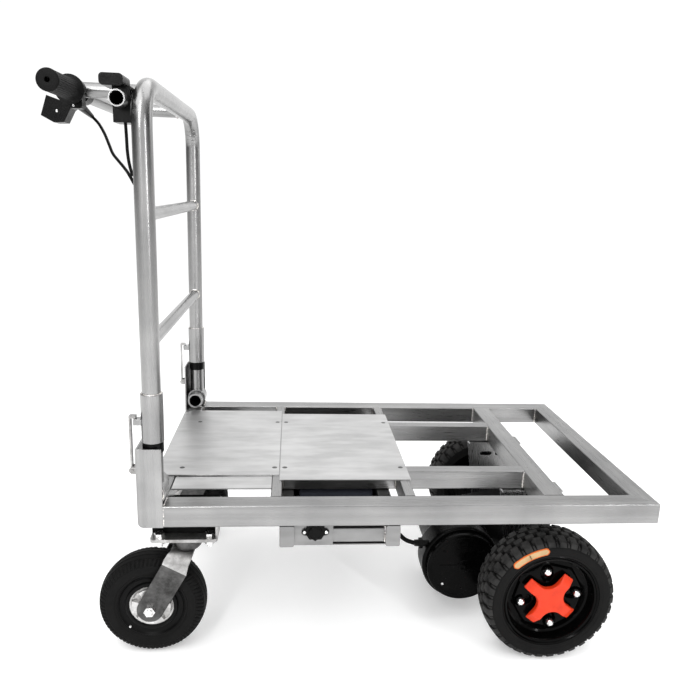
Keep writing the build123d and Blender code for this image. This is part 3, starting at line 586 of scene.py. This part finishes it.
def hub_cap(label, side):
    """Cap with four parallel-sided arms, round notches between them and sloping arm ends."""
    centre = middle(f"rear_tyre_{label}")
    body = f"rear_wheel_{label}"
    cap = Builder()
    notch_at, notch_r, half_arm, arm_end, edge = 47.8, 22.8, 11.0, 57.0, 1.3
    low, high = 26.2, 36.0

    def arm_point(arm, u, v, axial):
        """Point on an arm: u along it, v across it."""
        return Vector((centre.x + (u * math.cos(arm) - v * math.sin(arm)) * MM,
                       centre.y + side * axial * MM,
                       centre.z + (u * math.sin(arm) + v * math.cos(arm)) * MM))

    def notch_edge(sweep, inset):
        """Side of an arm beside the round notch, as (u, v)."""
        p = notch_at - (notch_r + inset) * math.cos(sweep)
        q = (notch_r + inset) * math.sin(sweep)
        return (p + q) / math.sqrt(2), (p - q) / math.sqrt(2)

    def cap_top(u):
        return high - 0.55 * max(0.0, u - 42.0)

    sides = []
    for i in range(13):
        sweep = math.radians(45) * i / 12
        sides.append((notch_edge(sweep, 0), notch_edge(sweep, edge)))
    for u in (37.0, 41.8, 42.2, 49.0, arm_end - edge):
        sides.append(((u, half_arm), (u, half_arm - edge)))
    sides.append(((arm_end, half_arm - edge), (arm_end - 0.4, half_arm - 2 * edge)))
    centre_top = []
    for turn in NUT_TURNS:
        arm = turn + QUARTER / 2
        rings = []
        for (u, v), (inner_u, inner_v) in sides:
            crest = cap_top(inner_u)
            rings.append([arm_point(arm, u, v, low), arm_point(arm, u, v, crest - edge),
                          arm_point(arm, inner_u, inner_v, crest), arm_point(arm, inner_u, -inner_v, crest),
                          arm_point(arm, u, -v, crest - edge), arm_point(arm, u, -v, low)])
        cap.loft(rings, caps=False)
        cap.faces.append(tuple(range(len(cap.verts) - 6, len(cap.verts))))
        centre_top.append(rings[0][3])
    first = len(cap.verts)
    cap.verts.extend(centre_top)
    cap.faces.append(tuple(range(first, first + 4)))
    boss = Builder()
    turned(boss, centre, side, [(19.7, 16.6), (19.7, 21), (26.8, 21), (26.8, 16.6)], 48)
    cap_piece = cap.piece(f"hub_cap_{label}_arms", "orange", body, "orange_plastic", 14)
    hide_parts(f"hub_cap_{label}")
    boss.piece(f"hub_cap_{label}_socket", "orange", body, "orange_plastic")


def sidewall_patch(label, side):
    """Capsule-shaped patch on the side wall: a raised edge, and a paler face inside it."""
    centre = middle(f"rear_tyre_{label}")
    girth, steps = 108.0, 32
    start, stop = math.radians(98), math.radians(137)
    for name, finish, half_wide, trim, low, high in (("edge", "patch_edge", 7.2, 0.0, 38.4, 40.35),
                                                     ("face", "cream", 5.2, 2.0, 38.6, 40.6)):
        rows = []
        for i in range(steps + 1):
            t = i / steps
            angle = start + (stop - start) * t + math.copysign(trim / girth, 0.5 - t)
            away = min(t, 1 - t) * (stop - start) * girth / half_wide
            wide = half_wide * (1 if away > 1 else math.sqrt(max(0.04, 1 - (1 - away) ** 2)))
            rows.append([wheel_point(centre, side, angle, axial * MM, (girth + radial) * MM)
                         for axial, radial in ((low, -wide), (high - 0.15, -wide), (high, -wide + 0.3),
                                               (high, wide - 0.3), (high - 0.15, wide), (low, wide))])
        patch = Builder()
        patch.loft(rows)
        patch.piece(f"sidewall_patch_{label}_{name}", finish, f"rear_wheel_{label}", "orange_plastic")


for label, side in SIDES:
    rear_tyre(label, side)
    rear_rim_and_hub(label, side)
    hub_cap(label, side)
    sidewall_patch(label, side)


# ------------------------------------------------------------------------------- caster wheels
def caster_wheel(label):
    centre = middle(f"caster_tyre_{label}")
    body = f"caster_wheel_{label}"

    def sipes(axial, radius, angle):
        """Slanted cuts across both shoulders."""
        if 84.5 < radius < 96.2 and abs(axial) > 20:
            phase = (angle * 72 / (2 * math.pi) + 0.04 * radius) % 1.0
            if phase < 0.34:
                return axial * 0.95, radius - 1.2
        return axial, radius

    outer = [(27.0, 63.0), (27.8, 64.5), (28.6, 66.5), (28.2, 67.1), (28.9, 67.8), (29.9, 73.0),
             (30.0, 78.0), (29.7, 81.0), (29.9, 81.6), (29.6, 82.6), (28.9, 83.2), (28.6, 86.5),
             (27.4, 90.0), (25.2, 93.2), (22.6, 95.4), (21.2, 96.0), (20.4, 94.6), (19.4, 94.8),
             (18.6, 96.9), (11.8, 98.7), (11.0, 97.2), (9.8, 97.3), (9.0, 99.2), (1.9, 99.95), (1.1, 98.5)]
    builder = Builder()
    turned(builder, centre, 1, mirrored(outer), 480, sipes)
    tyre = builder.piece(f"caster_tyre_{label}_ribbed", "tyre", body, "tyre_rubber", 40)
    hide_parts(f"caster_tyre_{label}")

    face = [(27.0, 41.0), (28.0, 42.0), (28.2, 45.4), (27.0, 47.6), (22.8, 49.4), (22.4, 53.0),
            (22.8, 57.2), (24.4, 59.4), (26.6, 60.6), (27.2, 61.6), (26.6, 62.3), (27.0, 63.0)]
    builder = Builder()
    turned(builder, centre, 1, mirrored(face), 96)
    rim = builder.piece(f"caster_rim_{label}_moulded", "rim_black", body, "rim_plastic")
    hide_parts(f"caster_rim_{label}")

    def lobes(axial, radius, angle):
        """Six pressed lobes that rise from the nave."""
        if 17.0 < radius < 37.6:
            wave = smooth((0.5 + 0.5 * math.cos(6 * angle + 0.5) - 0.28) / 0.30)
            nave_fade = min(1.0, (radius - 17.0) / 7.0)
            axial += math.copysign(6.8 * wave * nave_fade, axial)
        return axial, radius

    face = [(34.4, 6.2), (34.4, 12.0), (33.6, 13.4), (28.5, 14.4), (23.8, 16.5), (21.8, 19.0)]
    face += [(21.4 + 0.02 * i, 21.0 + 1.5 * i) for i in range(11)]
    face += [(22.6, 37.6), (23.6, 39.4), (23.8, 41.0)]
    builder = Builder()
    turned(builder, centre, 1, mirrored(face), 192, lobes)
    hub = builder.piece(f"caster_hub_{label}_pressed", "pressed", body, "hub_metal", 34)
    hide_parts(f"caster_hub_{label}")

    valve = Builder()
    for face_side in (1, -1):
        at = wheel_point(centre, face_side, math.radians(227), 22.0 * MM, 60.5 * MM)
        coaxial(valve, at, Vector((0, face_side, 0)),
                ((-1, 2.6), (3.2, 2.6), (3.4, 2.1), (4.6, 2.1), (5.0, 1.3)), 18)
    valve.piece(f"caster_valve_{label}", "bright", body, "zinc_fasteners")


for label, _ in SIDES:
    caster_wheel(label)


# ------------------------------------------------------------------------------- grips
def grip(name, node, side, body, length):
    """Ribbed grip of that length in millimetres, measured along the bar from its flange outwards."""
    low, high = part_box(node)
    start = high.y if side < 0 else low.y
    centre = Vector((BAR.x, start, BAR.z))

    def ribs(axial, radius, angle):
        if 17.0 < axial < length - 7.0 and radius > 14.5:
            radius += 0.42 * max(-0.4, math.cos(30 * angle)) - 0.25
        return axial, radius

    flange = (high.z - low.z) / 2 / MM
    profile = [(0, 11.1), (0, flange - 0.8), (0.8, flange), (4.0, flange), (4.8, flange - 0.8),
               (7.0, 19.6), (9.0, 17.8), (13.0, 16.8), (16.0, 16.6), (17.5, 16.6)]
    profile += [(17.6 + i * (length - 25.5) / 8, 16.6) for i in range(9)]
    profile += [(length - back, radius) for back, radius in (
        (7.0, 16.6), (6.0, 16.9), (2.0, 16.9), (0.8, 16.2), (0.0, 14.8), (0.0, 5.0), (0.3, 4.2),
        (3.2, 4.1), (3.4, 11.1))]
    builder = Builder()
    turned(builder, centre, side, profile, 240, ribs)
    made = builder.piece(name, "grip", body, "grip_rubber", 36)
    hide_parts(node)


grip_length = (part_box("throttle_grip")[1].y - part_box("throttle_grip")[0].y) / MM
grip("throttle_grip_ribbed", "throttle_grip", -1, "throttle", grip_length)
grip("left_grip_ribbed", "left_grip", 1, "handle", grip_length)


# ------------------------------------------------------------------------------- weld beads
FINE_BEAD, WIDE_BEAD = 0.0016, 0.002


def bead(builder, start, end, radius=FINE_BEAD):
    """Rippled bead along a straight seam."""
    start, end = Vector(start), Vector(end)
    count = max(4, int((end - start).length / 0.0019))
    path = []
    for i in range(count + 1):
        shake = Vector([random.uniform(-0.25, 0.25) * radius for _ in range(3)])
        path.append(start.lerp(end, i / count) + shake)
    rod(builder, path, radius, 8, wobble=0.34)


def ring_bead(builder, centre, normal, radius, bead_radius=0.0015):
    """Rippled bead round a tube end."""
    count = max(16, int(2 * math.pi * radius / 0.0022))
    ring = circle_ring(Vector(centre), normal, radius, count)
    rings = []
    for i, point in enumerate(ring):
        ahead = ring[(i + 1) % len(ring)]
        behind = ring[i - 1]
        scale = 1.0 + 0.3 * random.uniform(-0.6, 0.8)
        rings.append(circle_ring(point, ahead - behind, bead_radius * scale, 8))
    builder.loft(rings, wrap=True)


def seam(x, y, radius=FINE_BEAD):
    """Upright bead as tall as the deck frame."""
    bead(frame_beads, (x, y, UNDER + 0.003), (x, y, DECK_TOP - 0.002), radius)


SMALL_TUBE = 0.026  # width of the inner rails' and the battery tray's tubes
frame_beads = Builder()
inner_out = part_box("inner_rails")[1].y
inner_in = inner_out - SMALL_TUBE
cross_low, cross_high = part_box("narrow_crossmembers")
cross_width = 0.020
lift, wide_lift = 0.0008, 0.0009  # how far a bead's middle stands out from its corner
for s in (1, -1):
    rail_face = s * (HALF_WIDTH - TUBE)
    inner_faces = ((s * inner_out, s), (s * inner_in, -s))
    for x_low in (cross_low.x, cross_high.x - cross_width):
        for x, way in ((x_low, -1), (x_low + cross_width, 1)):
            for y, into in ((rail_face, -s), *inner_faces):
                seam(x + way * lift, y + into * lift)
    rail_seam = rail_face - s * wide_lift
    seam(member_low.x - wide_lift, rail_seam, WIDE_BEAD)
    seam(member_high.x + wide_lift, rail_seam, WIDE_BEAD)
    for y, into in inner_faces:
        seam(member_low.x - wide_lift, y + into * wide_lift, WIDE_BEAD)
        seam(BACK + wide_lift, y + into * wide_lift)
    seam(rail_high.x - TUBE - wide_lift, rail_seam, WIDE_BEAD)
    seam(BACK + wide_lift, rail_seam)
frame_beads.piece("frame_weld_beads", "weld", "chassis", "frame_steel", 60)

tray_low, tray_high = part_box("battery_tray")
tray_beads = Builder()
for s in (1, -1):
    y = s * (HALF_WIDTH - 0.012)
    for x in (tray_low.x + SMALL_TUBE - 0.001, tray_high.x - SMALL_TUBE + 0.001):
        bead(tray_beads, (x, y, UNDER - 0.004), (x, y, UNDER - TUBE + 0.002), 0.0034)
tray_beads.piece("tray_weld_beads", "weld", "chassis", "frame_steel", 60)

foot_beads = Builder()
for s in (1, -1):
    x, y = BACK + 0.001, s * (HALF_WIDTH - wide_lift)
    bead(foot_beads, (x, y, UNDER + 0.002), (x, y, DECK_TOP - 0.002), 0.0011)
    z = DECK_TOP + lift
    bead(foot_beads, (x, s * (HALF_WIDTH - 0.003), z), (x, s * (HALF_WIDTH - TUBE + 0.004), z))
    ring_bead(foot_beads, (POST_X, s * (HALF_WIDTH - 0.0045), PIVOT_Z), (0, 1, 0), 0.0185)
    y, z = s * (HALF_WIDTH - 0.052), PIVOT_Z - 0.019
    bead(foot_beads, (POST_X - 0.012, y, z), (POST_X + 0.013, y, z), WIDE_BEAD)
foot_beads.piece("foot_weld_beads", "weld", "chassis", "frame_steel", 60)

handle_beads = Builder()
rung_low, rung_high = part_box("handle_rungs")
RUNG_R = (rung_high.x - rung_low.x) / 2
ARM_R = 0.0125
ARM_Y = 0.150
TOP_Z = handle_high.z - POST_R
for s in (1, -1):
    for z in (rung_low.z + RUNG_R, rung_high.z - RUNG_R):
        ring_bead(handle_beads, (POST_X, s * (POST_Y - POST_R + 0.0012), z), (0, 1, 0),
                  RUNG_R + 0.0004, 0.0017)
    ring_bead(handle_beads, (POST_X - POST_R + 0.0016, s * ARM_Y, TOP_Z), (1, 0, 0),
              ARM_R + 0.0004, 0.0017)
    ring_bead(handle_beads, (BAR.x + BAR_R - 0.001, s * ARM_Y, TOP_Z), (1, 0, 0),
              ARM_R - 0.0004, 0.0016)
    ring_bead(handle_beads, (POST_X, s * POST_Y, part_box("handle_feet")[1].z + 0.0002), (0, 0, 1),
              POST_R + 0.0006, 0.0013)
handle_beads.piece("handle_weld_beads", "weld", "handle", "handle_steel", 60)


# ------------------------------------------------------------------------------- painted shade inside open tubes: black sleeves that stand in for the shadow in the tube ends
shade_sleeves = Builder()
stub = Vector((POST_X - 0.032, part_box("handle_arms")[0].y, TOP_Z - 2 * ARM_R))
turned(shade_sleeves, stub, 1,
       [(1.0, 9.6), (0.8, 10.4), (120.0, 10.4), (120.0, 0.3), (119.0, 0.3), (119.0, 9.6)], 48)
shade_sleeves.piece("stub_painted_shade", "tube_shade", "handle", "control_plastic")
shade_sleeves = Builder()
for s in (1, -1):
    inner_end = Vector((POST_X, s * (HALF_WIDTH - 0.064), PIVOT_Z))
    turned(shade_sleeves, inner_end, s,
           [(0.8, 13.0), (0.6, 13.9), (59.0, 13.9), (59.0, 0.3), (58.0, 0.3), (58.0, 13.0)], 48)
shade_sleeves.piece("pivot_painted_shade", "tube_shade", "chassis", "control_plastic")


# ------------------------------------------------------------------------------- bend wrinkles on the handle
wrinkles = Builder()
BEND_R = 0.065
bend_centre = Vector((POST_X, 0.206, TOP_Z - BEND_R))
for s in (1, -1):
    for degrees in (6, 17, 28, 39):
        turn = math.radians(degrees)
        outward = Vector((0, s * math.cos(turn), math.sin(turn)))
        centre = Vector((POST_X, s * bend_centre.y, bend_centre.z)) + outward * BEND_R
        rings = []
        for i in range(25):
            sway = math.radians(-72 + 6 * i)
            way = Vector((math.sin(sway), 0, 0)) - outward * math.cos(sway)
            tall = max(0.02, math.cos(sway * 90 / 74))
            spot = centre + way * (POST_R - 0.0014 + 0.0003 * tall)
            tangent = Vector((math.cos(sway), 0, 0)) + outward * math.sin(sway)
            rings.append(circle_ring(spot, tangent, 0.0008 + 0.0010 * tall, 10))
        wrinkles.loft(rings)
wrinkles.piece("handle_bend_wrinkles", "tube_z", "handle", "handle_steel", 60)


# ------------------------------------------------------------------------------- motor end
end_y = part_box("motor_end_cap")[0].y
relief = Builder()
end_middle = Vector((MOTOR.x, end_y, MOTOR.z))
turned(relief, end_middle, -1, [(-0.6, 63.0), (0.5, 63.6), (0.7, 65.0), (0.5, 66.4), (-0.6, 67.0)], 96)
turned(relief, end_middle, -1, [(-0.5, 3.0), (1.0, 3.0), (1.3, 6.0), (1.0, 8.4), (-0.5, 9.0)], 48)


def raised_line(radius, *points):
    """Raised line on the motor's end face through (x, z) points in millimetres from its middle."""
    rod(relief, [Vector((MOTOR.x + x * MM, end_y - 0.0002, MOTOR.z + z * MM)) for x, z in points],
        radius, 10)


raised_line(0.0012, (-48, 5), (-30, 5), (-14, 5), (-11.5, 6.5), (-8, 11), (-3, 14.5), (3, 16.2), (8, 16.2))
raised_line(0.0011, (6, -9), (11, -7), (15, -3))
relief.piece("motor_end_relief", "enamel", "chassis", "motor_paint", 50)
# painted highlight: the four end screws are alike; one is bright metal and three are black enamel, to paint
# the glint that falls on only one
for name, finish, turns in (("motor_end_screws", "enamel", (42, 138, 318)),
                            ("motor_end_screw_highlight", "bright", (222,))):
    studs = Builder()
    for turn in turns:
        at = wheel_point(end_middle, -1, math.radians(turn), 0, 0.055)
        coaxial(studs, at, NEAR, ((-0.5, 2.6), (1.0, 2.6), (1.5, 2.1), (1.5, 1.1), (0.7, 1.0)))
    studs.piece(name, finish, "chassis", "zinc_fasteners", 40)


# ------------------------------------------------------------------------------- caster forks and swivels
CROWN_DROP = 0.0245  # from the top of the CAD fork's stem down to its flat crown
SWIVEL_X = middle("caster_plates").x


def caster_fork(label):
    """Fork of the caster: two band legs that lean back to the axle, bent in to a flat crown."""
    low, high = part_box(f"caster_fork_{label}")
    axle = middle(f"caster_axle_{label}")
    body = f"fork_{label}"
    crown_z = high.z - CROWN_DROP
    up_leg = Vector((0.486, 0.874))
    across_leg = Vector((0.874, -0.486))
    hinge = Vector((axle.x, axle.z))
    half_band, crease, thick = 0.0245, 0.0945, 0.004
    outline = [hinge - across_leg * half_band * math.cos(turn) - up_leg * half_band * math.sin(turn)
               for turn in (math.pi * i / 16 for i in range(17))]
    top = hinge + up_leg * crease
    outline += [top + across_leg * half_band, top - across_leg * half_band]
    outer = (high.y - low.y) / 2
    # rows of the bend: back and front edge from the swivel axis and crown, distance in from the
    # leg's outer face, and how thick the sheet is across and downwards
    bend_rows = (((-0.0385, -0.0085), (0.0050, -0.0230), 0.0025, 0.0038, 0.0008),
                 ((-0.0325, -0.0005), (0.0100, -0.0100), 0.0095, 0.0022, 0.0034),
                 ((-0.0290, 0.0010), (0.0130, -0.0020), 0.0180, 0.0004, 0.0040),
                 ((-0.0280, 0.0012), (0.0140, 0.0004), 0.0300, 0.0, 0.0042))
    rows = [(outline[-1], outline[-2], 0.0, thick, 0.0)]
    rows += [(Vector((SWIVEL_X + xa, crown_z + za)), Vector((SWIVEL_X + xb, crown_z + zb)), *rest)
             for (xa, za), (xb, zb), *rest in bend_rows]
    for end, s in SIDES:
        edges = sorted((axle.y + s * (outer - thick), axle.y + s * outer))
        # painted shade: the legs take the darkened zinc, while the bends above them keep the plain zinc
        leg = prism(f"caster_fork_{label}_leg_{end}", [(p.x, p.y) for p in outline], *edges, 0.0007,
                    "zinc_dark", body, "galvanised")
        if s > 0:
            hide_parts(f"caster_fork_{label}")
        rings = []
        for back, front, inset, thick_y, thick_z in rows:
            y_out = axle.y + s * (outer - inset)
            y_in = y_out - s * thick_y
            rings.append([Vector((back.x, y_out, back.y)), Vector((front.x, y_out, front.y)),
                          Vector((front.x, y_in, front.y - thick_z)),
                          Vector((back.x, y_in, back.y - thick_z))])
        bend = Builder()
        bend.loft(rings)
        bend.piece(f"caster_fork_{label}_bend_{end}", "zinc", body, "galvanised", 50)
    x_back, x_front = SWIVEL_X - 0.028, SWIVEL_X + 0.014
    z_low, z_high = crown_z - 0.005, crown_z + 0.0003
    prism(f"caster_fork_{label}_crown",
          [(x_back, z_low), (x_front, z_low), (x_front, z_high), (x_back, z_high)],
          axle.y - 0.013, axle.y + 0.013, 0.0006, "zinc_dark", body, "galvanised")


def swivel(label):
    """Ball race under the caster's plate, and the fork's cup below it."""
    stem = Vector((SWIVEL_X, middle(f"caster_tyre_{label}").y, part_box(f"caster_fork_{label}")[1].z))
    race = Builder()
    coaxial(race, stem + UPWARDS * 0.0145, UPWARDS,
            ((-7.0, 20.0), (-6.6, 30.6), (-7.4, 31.6), (-10.0, 32.0), (-12.4, 31.2), (-13.8, 29.4),
             (-14.4, 26.0), (-14.4, 20.0)), 64, caps=False)
    race.piece(f"caster_race_{label}", "zinc", "chassis", "galvanised")
    # painted shade: the cup under the race takes the darkened zinc
    cup = Builder()
    coaxial(cup, stem - UPWARDS * CROWN_DROP, UPWARDS,
            ((24.2, 20.0), (24.2, 27.4), (22.0, 28.4), (9.0, 28.0), (3.0, 24.5), (0.4, 22.0),
             (0.4, 20.0)), 64, caps=False)
    cup.piece(f"caster_cup_{label}", "zinc_dark", f"fork_{label}", "galvanised")


for label, _ in SIDES:
    caster_fork(label)
    swivel(label)


# ------------------------------------------------------------------------------- charge socket
sock = middle("charge_socket") + Vector((0.003, 0, 0))
face_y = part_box("charge_socket")[1].y
half_outline = ((15.5, 14), (16.5, 8.5), (20.5, 7.5), (24.5, 3.5), (24.5, -0.5), (20.5, -4), (15, -5),
                (13.5, -8), (10.5, -12.7), (4.1, -12.7))
outline = [(-x, z) for x, z in half_outline] + [(0, -16)] + list(reversed(half_outline))
plate = prism("charge_socket_plate", [(sock.x + x * MM, sock.z + z * MM) for x, z in outline],
              face_y - 0.0032, face_y + 0.0003, 0.0006, "control_black", "chassis", "control_plastic")
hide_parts("charge_socket")
lid = Builder()
turned(lid, Vector((sock.x, face_y, sock.z)), -1,
       [(3.0, 0.2), (3.0, 12.6), (3.8, 12.9), (5.6, 12.3), (6.2, 11.4), (6.3, 9.8), (5.7, 9.2),
        (5.7, 0.2)], 64)
rod(lid, [Vector((sock.x + x, face_y - 0.0045, sock.z + 0.0125)) for x in (-0.008, 0.008)], 0.0017, 12)
lid.piece("charge_socket_lid", "control_black", "chassis", "control_plastic")
screws = Builder()
for x in (-19.6, 19.6):
    at = Vector((sock.x + x * MM, face_y, sock.z + 0.0016))
    coaxial(screws, at, NEAR,
            ((2.8, 3.3), (3.6, 3.3), (4.3, 2.7), (4.7, 1.6), (4.3, 0.9), (3.9, 0.8)), 24)
screws.piece("charge_socket_screws", "bright", "chassis", "zinc_fasteners", 50)


# ------------------------------------------------------------------------------- small control details
control_screws = Builder()
for box_face, out in zip(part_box("switch_box"), (NEAR, -NEAR)):
    at = Vector((BAR.x - 0.038, box_face.y, BAR.z - 0.030))
    coaxial(control_screws, at, out, ((-0.4, 2.2), (0.5, 2.2), (0.9, 1.6), (0.5, 0.8)))
at = Vector((BAR.x + 0.004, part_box("throttle_housing")[0].y, BAR.z - 0.0245))
coaxial(control_screws, at, NEAR, ((-0.4, 1.9), (0.5, 1.9), (0.8, 1.3), (0.4, 0.7)))
control_screws.piece("control_screws", "bright", "handle", "zinc_fasteners", 50)

crisp_edges(0.0012, "handle_brackets", "caster_spacers", "caster_plates", "controller")
crisp_edges(0.006, "switch_box", "meter_box")
crisp_edges(0.0022, "throttle_housing")
crisp_edges(0.0008, "axle_brackets", "switch_rocker", "power_button",
            "cable_gland", "foot_collars", "handle_feet")


# ------------------------------------------------------------------------------- floor, light, camera
def floor():
    mesh = bpy.data.meshes.new("floor")
    reach = 30.0
    corners = [(-reach, -reach, 0), (reach, -reach, 0), (reach, reach, 0), (-reach, reach, 0)]
    mesh.from_pydata(corners, [], [(0, 1, 2, 3)])
    made = bpy.data.objects.new("floor", mesh)
    bpy.context.scene.collection.objects.link(made)
    paint = Paint("pale floor", grey(0.92), 0.85, shine=0.0)
    paint.colour(paint.ramp(paint.noise(3.0), grey(0.905), grey(0.93)))
    paint.shader.inputs["Emission Color"].default_value = (1, 1, 1, 1)
    paint.shader.inputs["Emission Strength"].default_value = 0.24
    mesh.materials.append(paint.material)


floor()
world = bpy.data.worlds.new("studio")
bpy.context.scene.world = world
world.use_nodes = True
studio = world.node_tree
backdrop = studio.nodes["Background"]
backdrop.inputs["Color"].default_value = (1, 1, 1, 1)
backdrop.inputs["Strength"].default_value = 1.05
room = studio.nodes.new("ShaderNodeBackground")
towards = studio.nodes.new("ShaderNodeTexCoord")
split = studio.nodes.new("ShaderNodeSeparateXYZ")
path = studio.nodes.new("ShaderNodeLightPath")


def studio_math(operation, first, second):
    """Math node fed by two sockets or numbers."""
    made = studio.nodes.new("ShaderNodeMath")
    made.operation = operation
    for socket, source in zip(made.inputs, (first, second)):
        if isinstance(source, (int, float)):
            socket.default_value = source
        else:
            studio.links.new(source, socket)
    return made.outputs["Value"]


# The camera sees plain white, gloss sees pale walls and ceiling, and all other light is even.
studio.links.new(towards.outputs["Generated"], split.inputs["Vector"])
across = studio_math("MULTIPLY", split.outputs["Y"], split.outputs["Y"])
walls = map_range(studio, across, 0.18, 0.85, 0.10, 1.6)
ceiling = map_range(studio, split.outputs["Z"], 0.35, 0.9, 0.0, 0.9)
seen_in_gloss = studio_math("ADD", walls, ceiling)
glossy = studio_math("MULTIPLY", seen_in_gloss, path.outputs["Is Glossy Ray"])
soft = studio_math("MULTIPLY", 1.12, studio_math("SUBTRACT", 1.0, path.outputs["Is Glossy Ray"]))
studio.links.new(studio_math("ADD", glossy, soft), room.inputs["Strength"])
choice = studio.nodes.new("ShaderNodeMixShader")
studio.links.new(path.outputs["Is Camera Ray"], choice.inputs["Fac"])
studio.links.new(room.outputs["Background"], choice.inputs[1])
studio.links.new(backdrop.outputs["Background"], choice.inputs[2])
studio.links.new(choice.outputs["Shader"], studio.nodes["World Output"].inputs["Surface"])
bpy.context.scene.view_settings.view_transform = "Standard"


def soft_box(name, at, aim, size, power):
    lamp = bpy.data.lights.new(name, "AREA")
    lamp.shape = "RECTANGLE"
    lamp.size, lamp.size_y = size
    lamp.energy = power
    made = bpy.data.objects.new(name, lamp)
    bpy.context.scene.collection.objects.link(made)
    made.location = at
    made.rotation_euler = (Vector(aim) - Vector(at)).to_track_quat("-Z", "Y").to_euler()


soft_box("key", (-1.4, -1.2, 3.2), (0, 0, 0.3), (2.4, 2.4), 32)
soft_box("top", (0.4, 0.6, 3.4), (0, 0, 0.3), (3.0, 2.4), 34)
soft_box("rim", (2.6, 1.4, 1.8), (0, 0, 0.3), (1.6, 1.6), 14)
soft_box("strip", (-0.9, -2.4, 2.2), (0, 0, 0.4), (0.22, 2.2), 30)
soft_box("low_strip", (1.6, -2.2, 1.3), (0.3, 0, 0.2), (0.06, 1.4), 14)

yaw, pitch, roll = (math.radians(v) for v in (5.19, 13.55, 2.07))
forward = Vector((math.sin(yaw) * math.cos(pitch), math.cos(yaw) * math.cos(pitch), -math.sin(pitch)))
right = Vector((math.cos(yaw), -math.sin(yaw), 0))
up = right.cross(forward)
tilted_right = right * math.cos(roll) + up * math.sin(roll)
tilted_up = up * math.cos(roll) - right * math.sin(roll)
lens = bpy.data.cameras.new("camera")
lens.lens = 34.59
lens.sensor_width = 36
lens.clip_start = 0.02
camera = bpy.data.objects.new("camera", lens)
bpy.context.scene.collection.objects.link(camera)
turn = Matrix((tilted_right, tilted_up, -forward)).transposed()
camera.matrix_world = Matrix.Translation((-0.1272, -1.3811, 0.8762)) @ turn.to_4x4()
bpy.context.scene.camera = camera
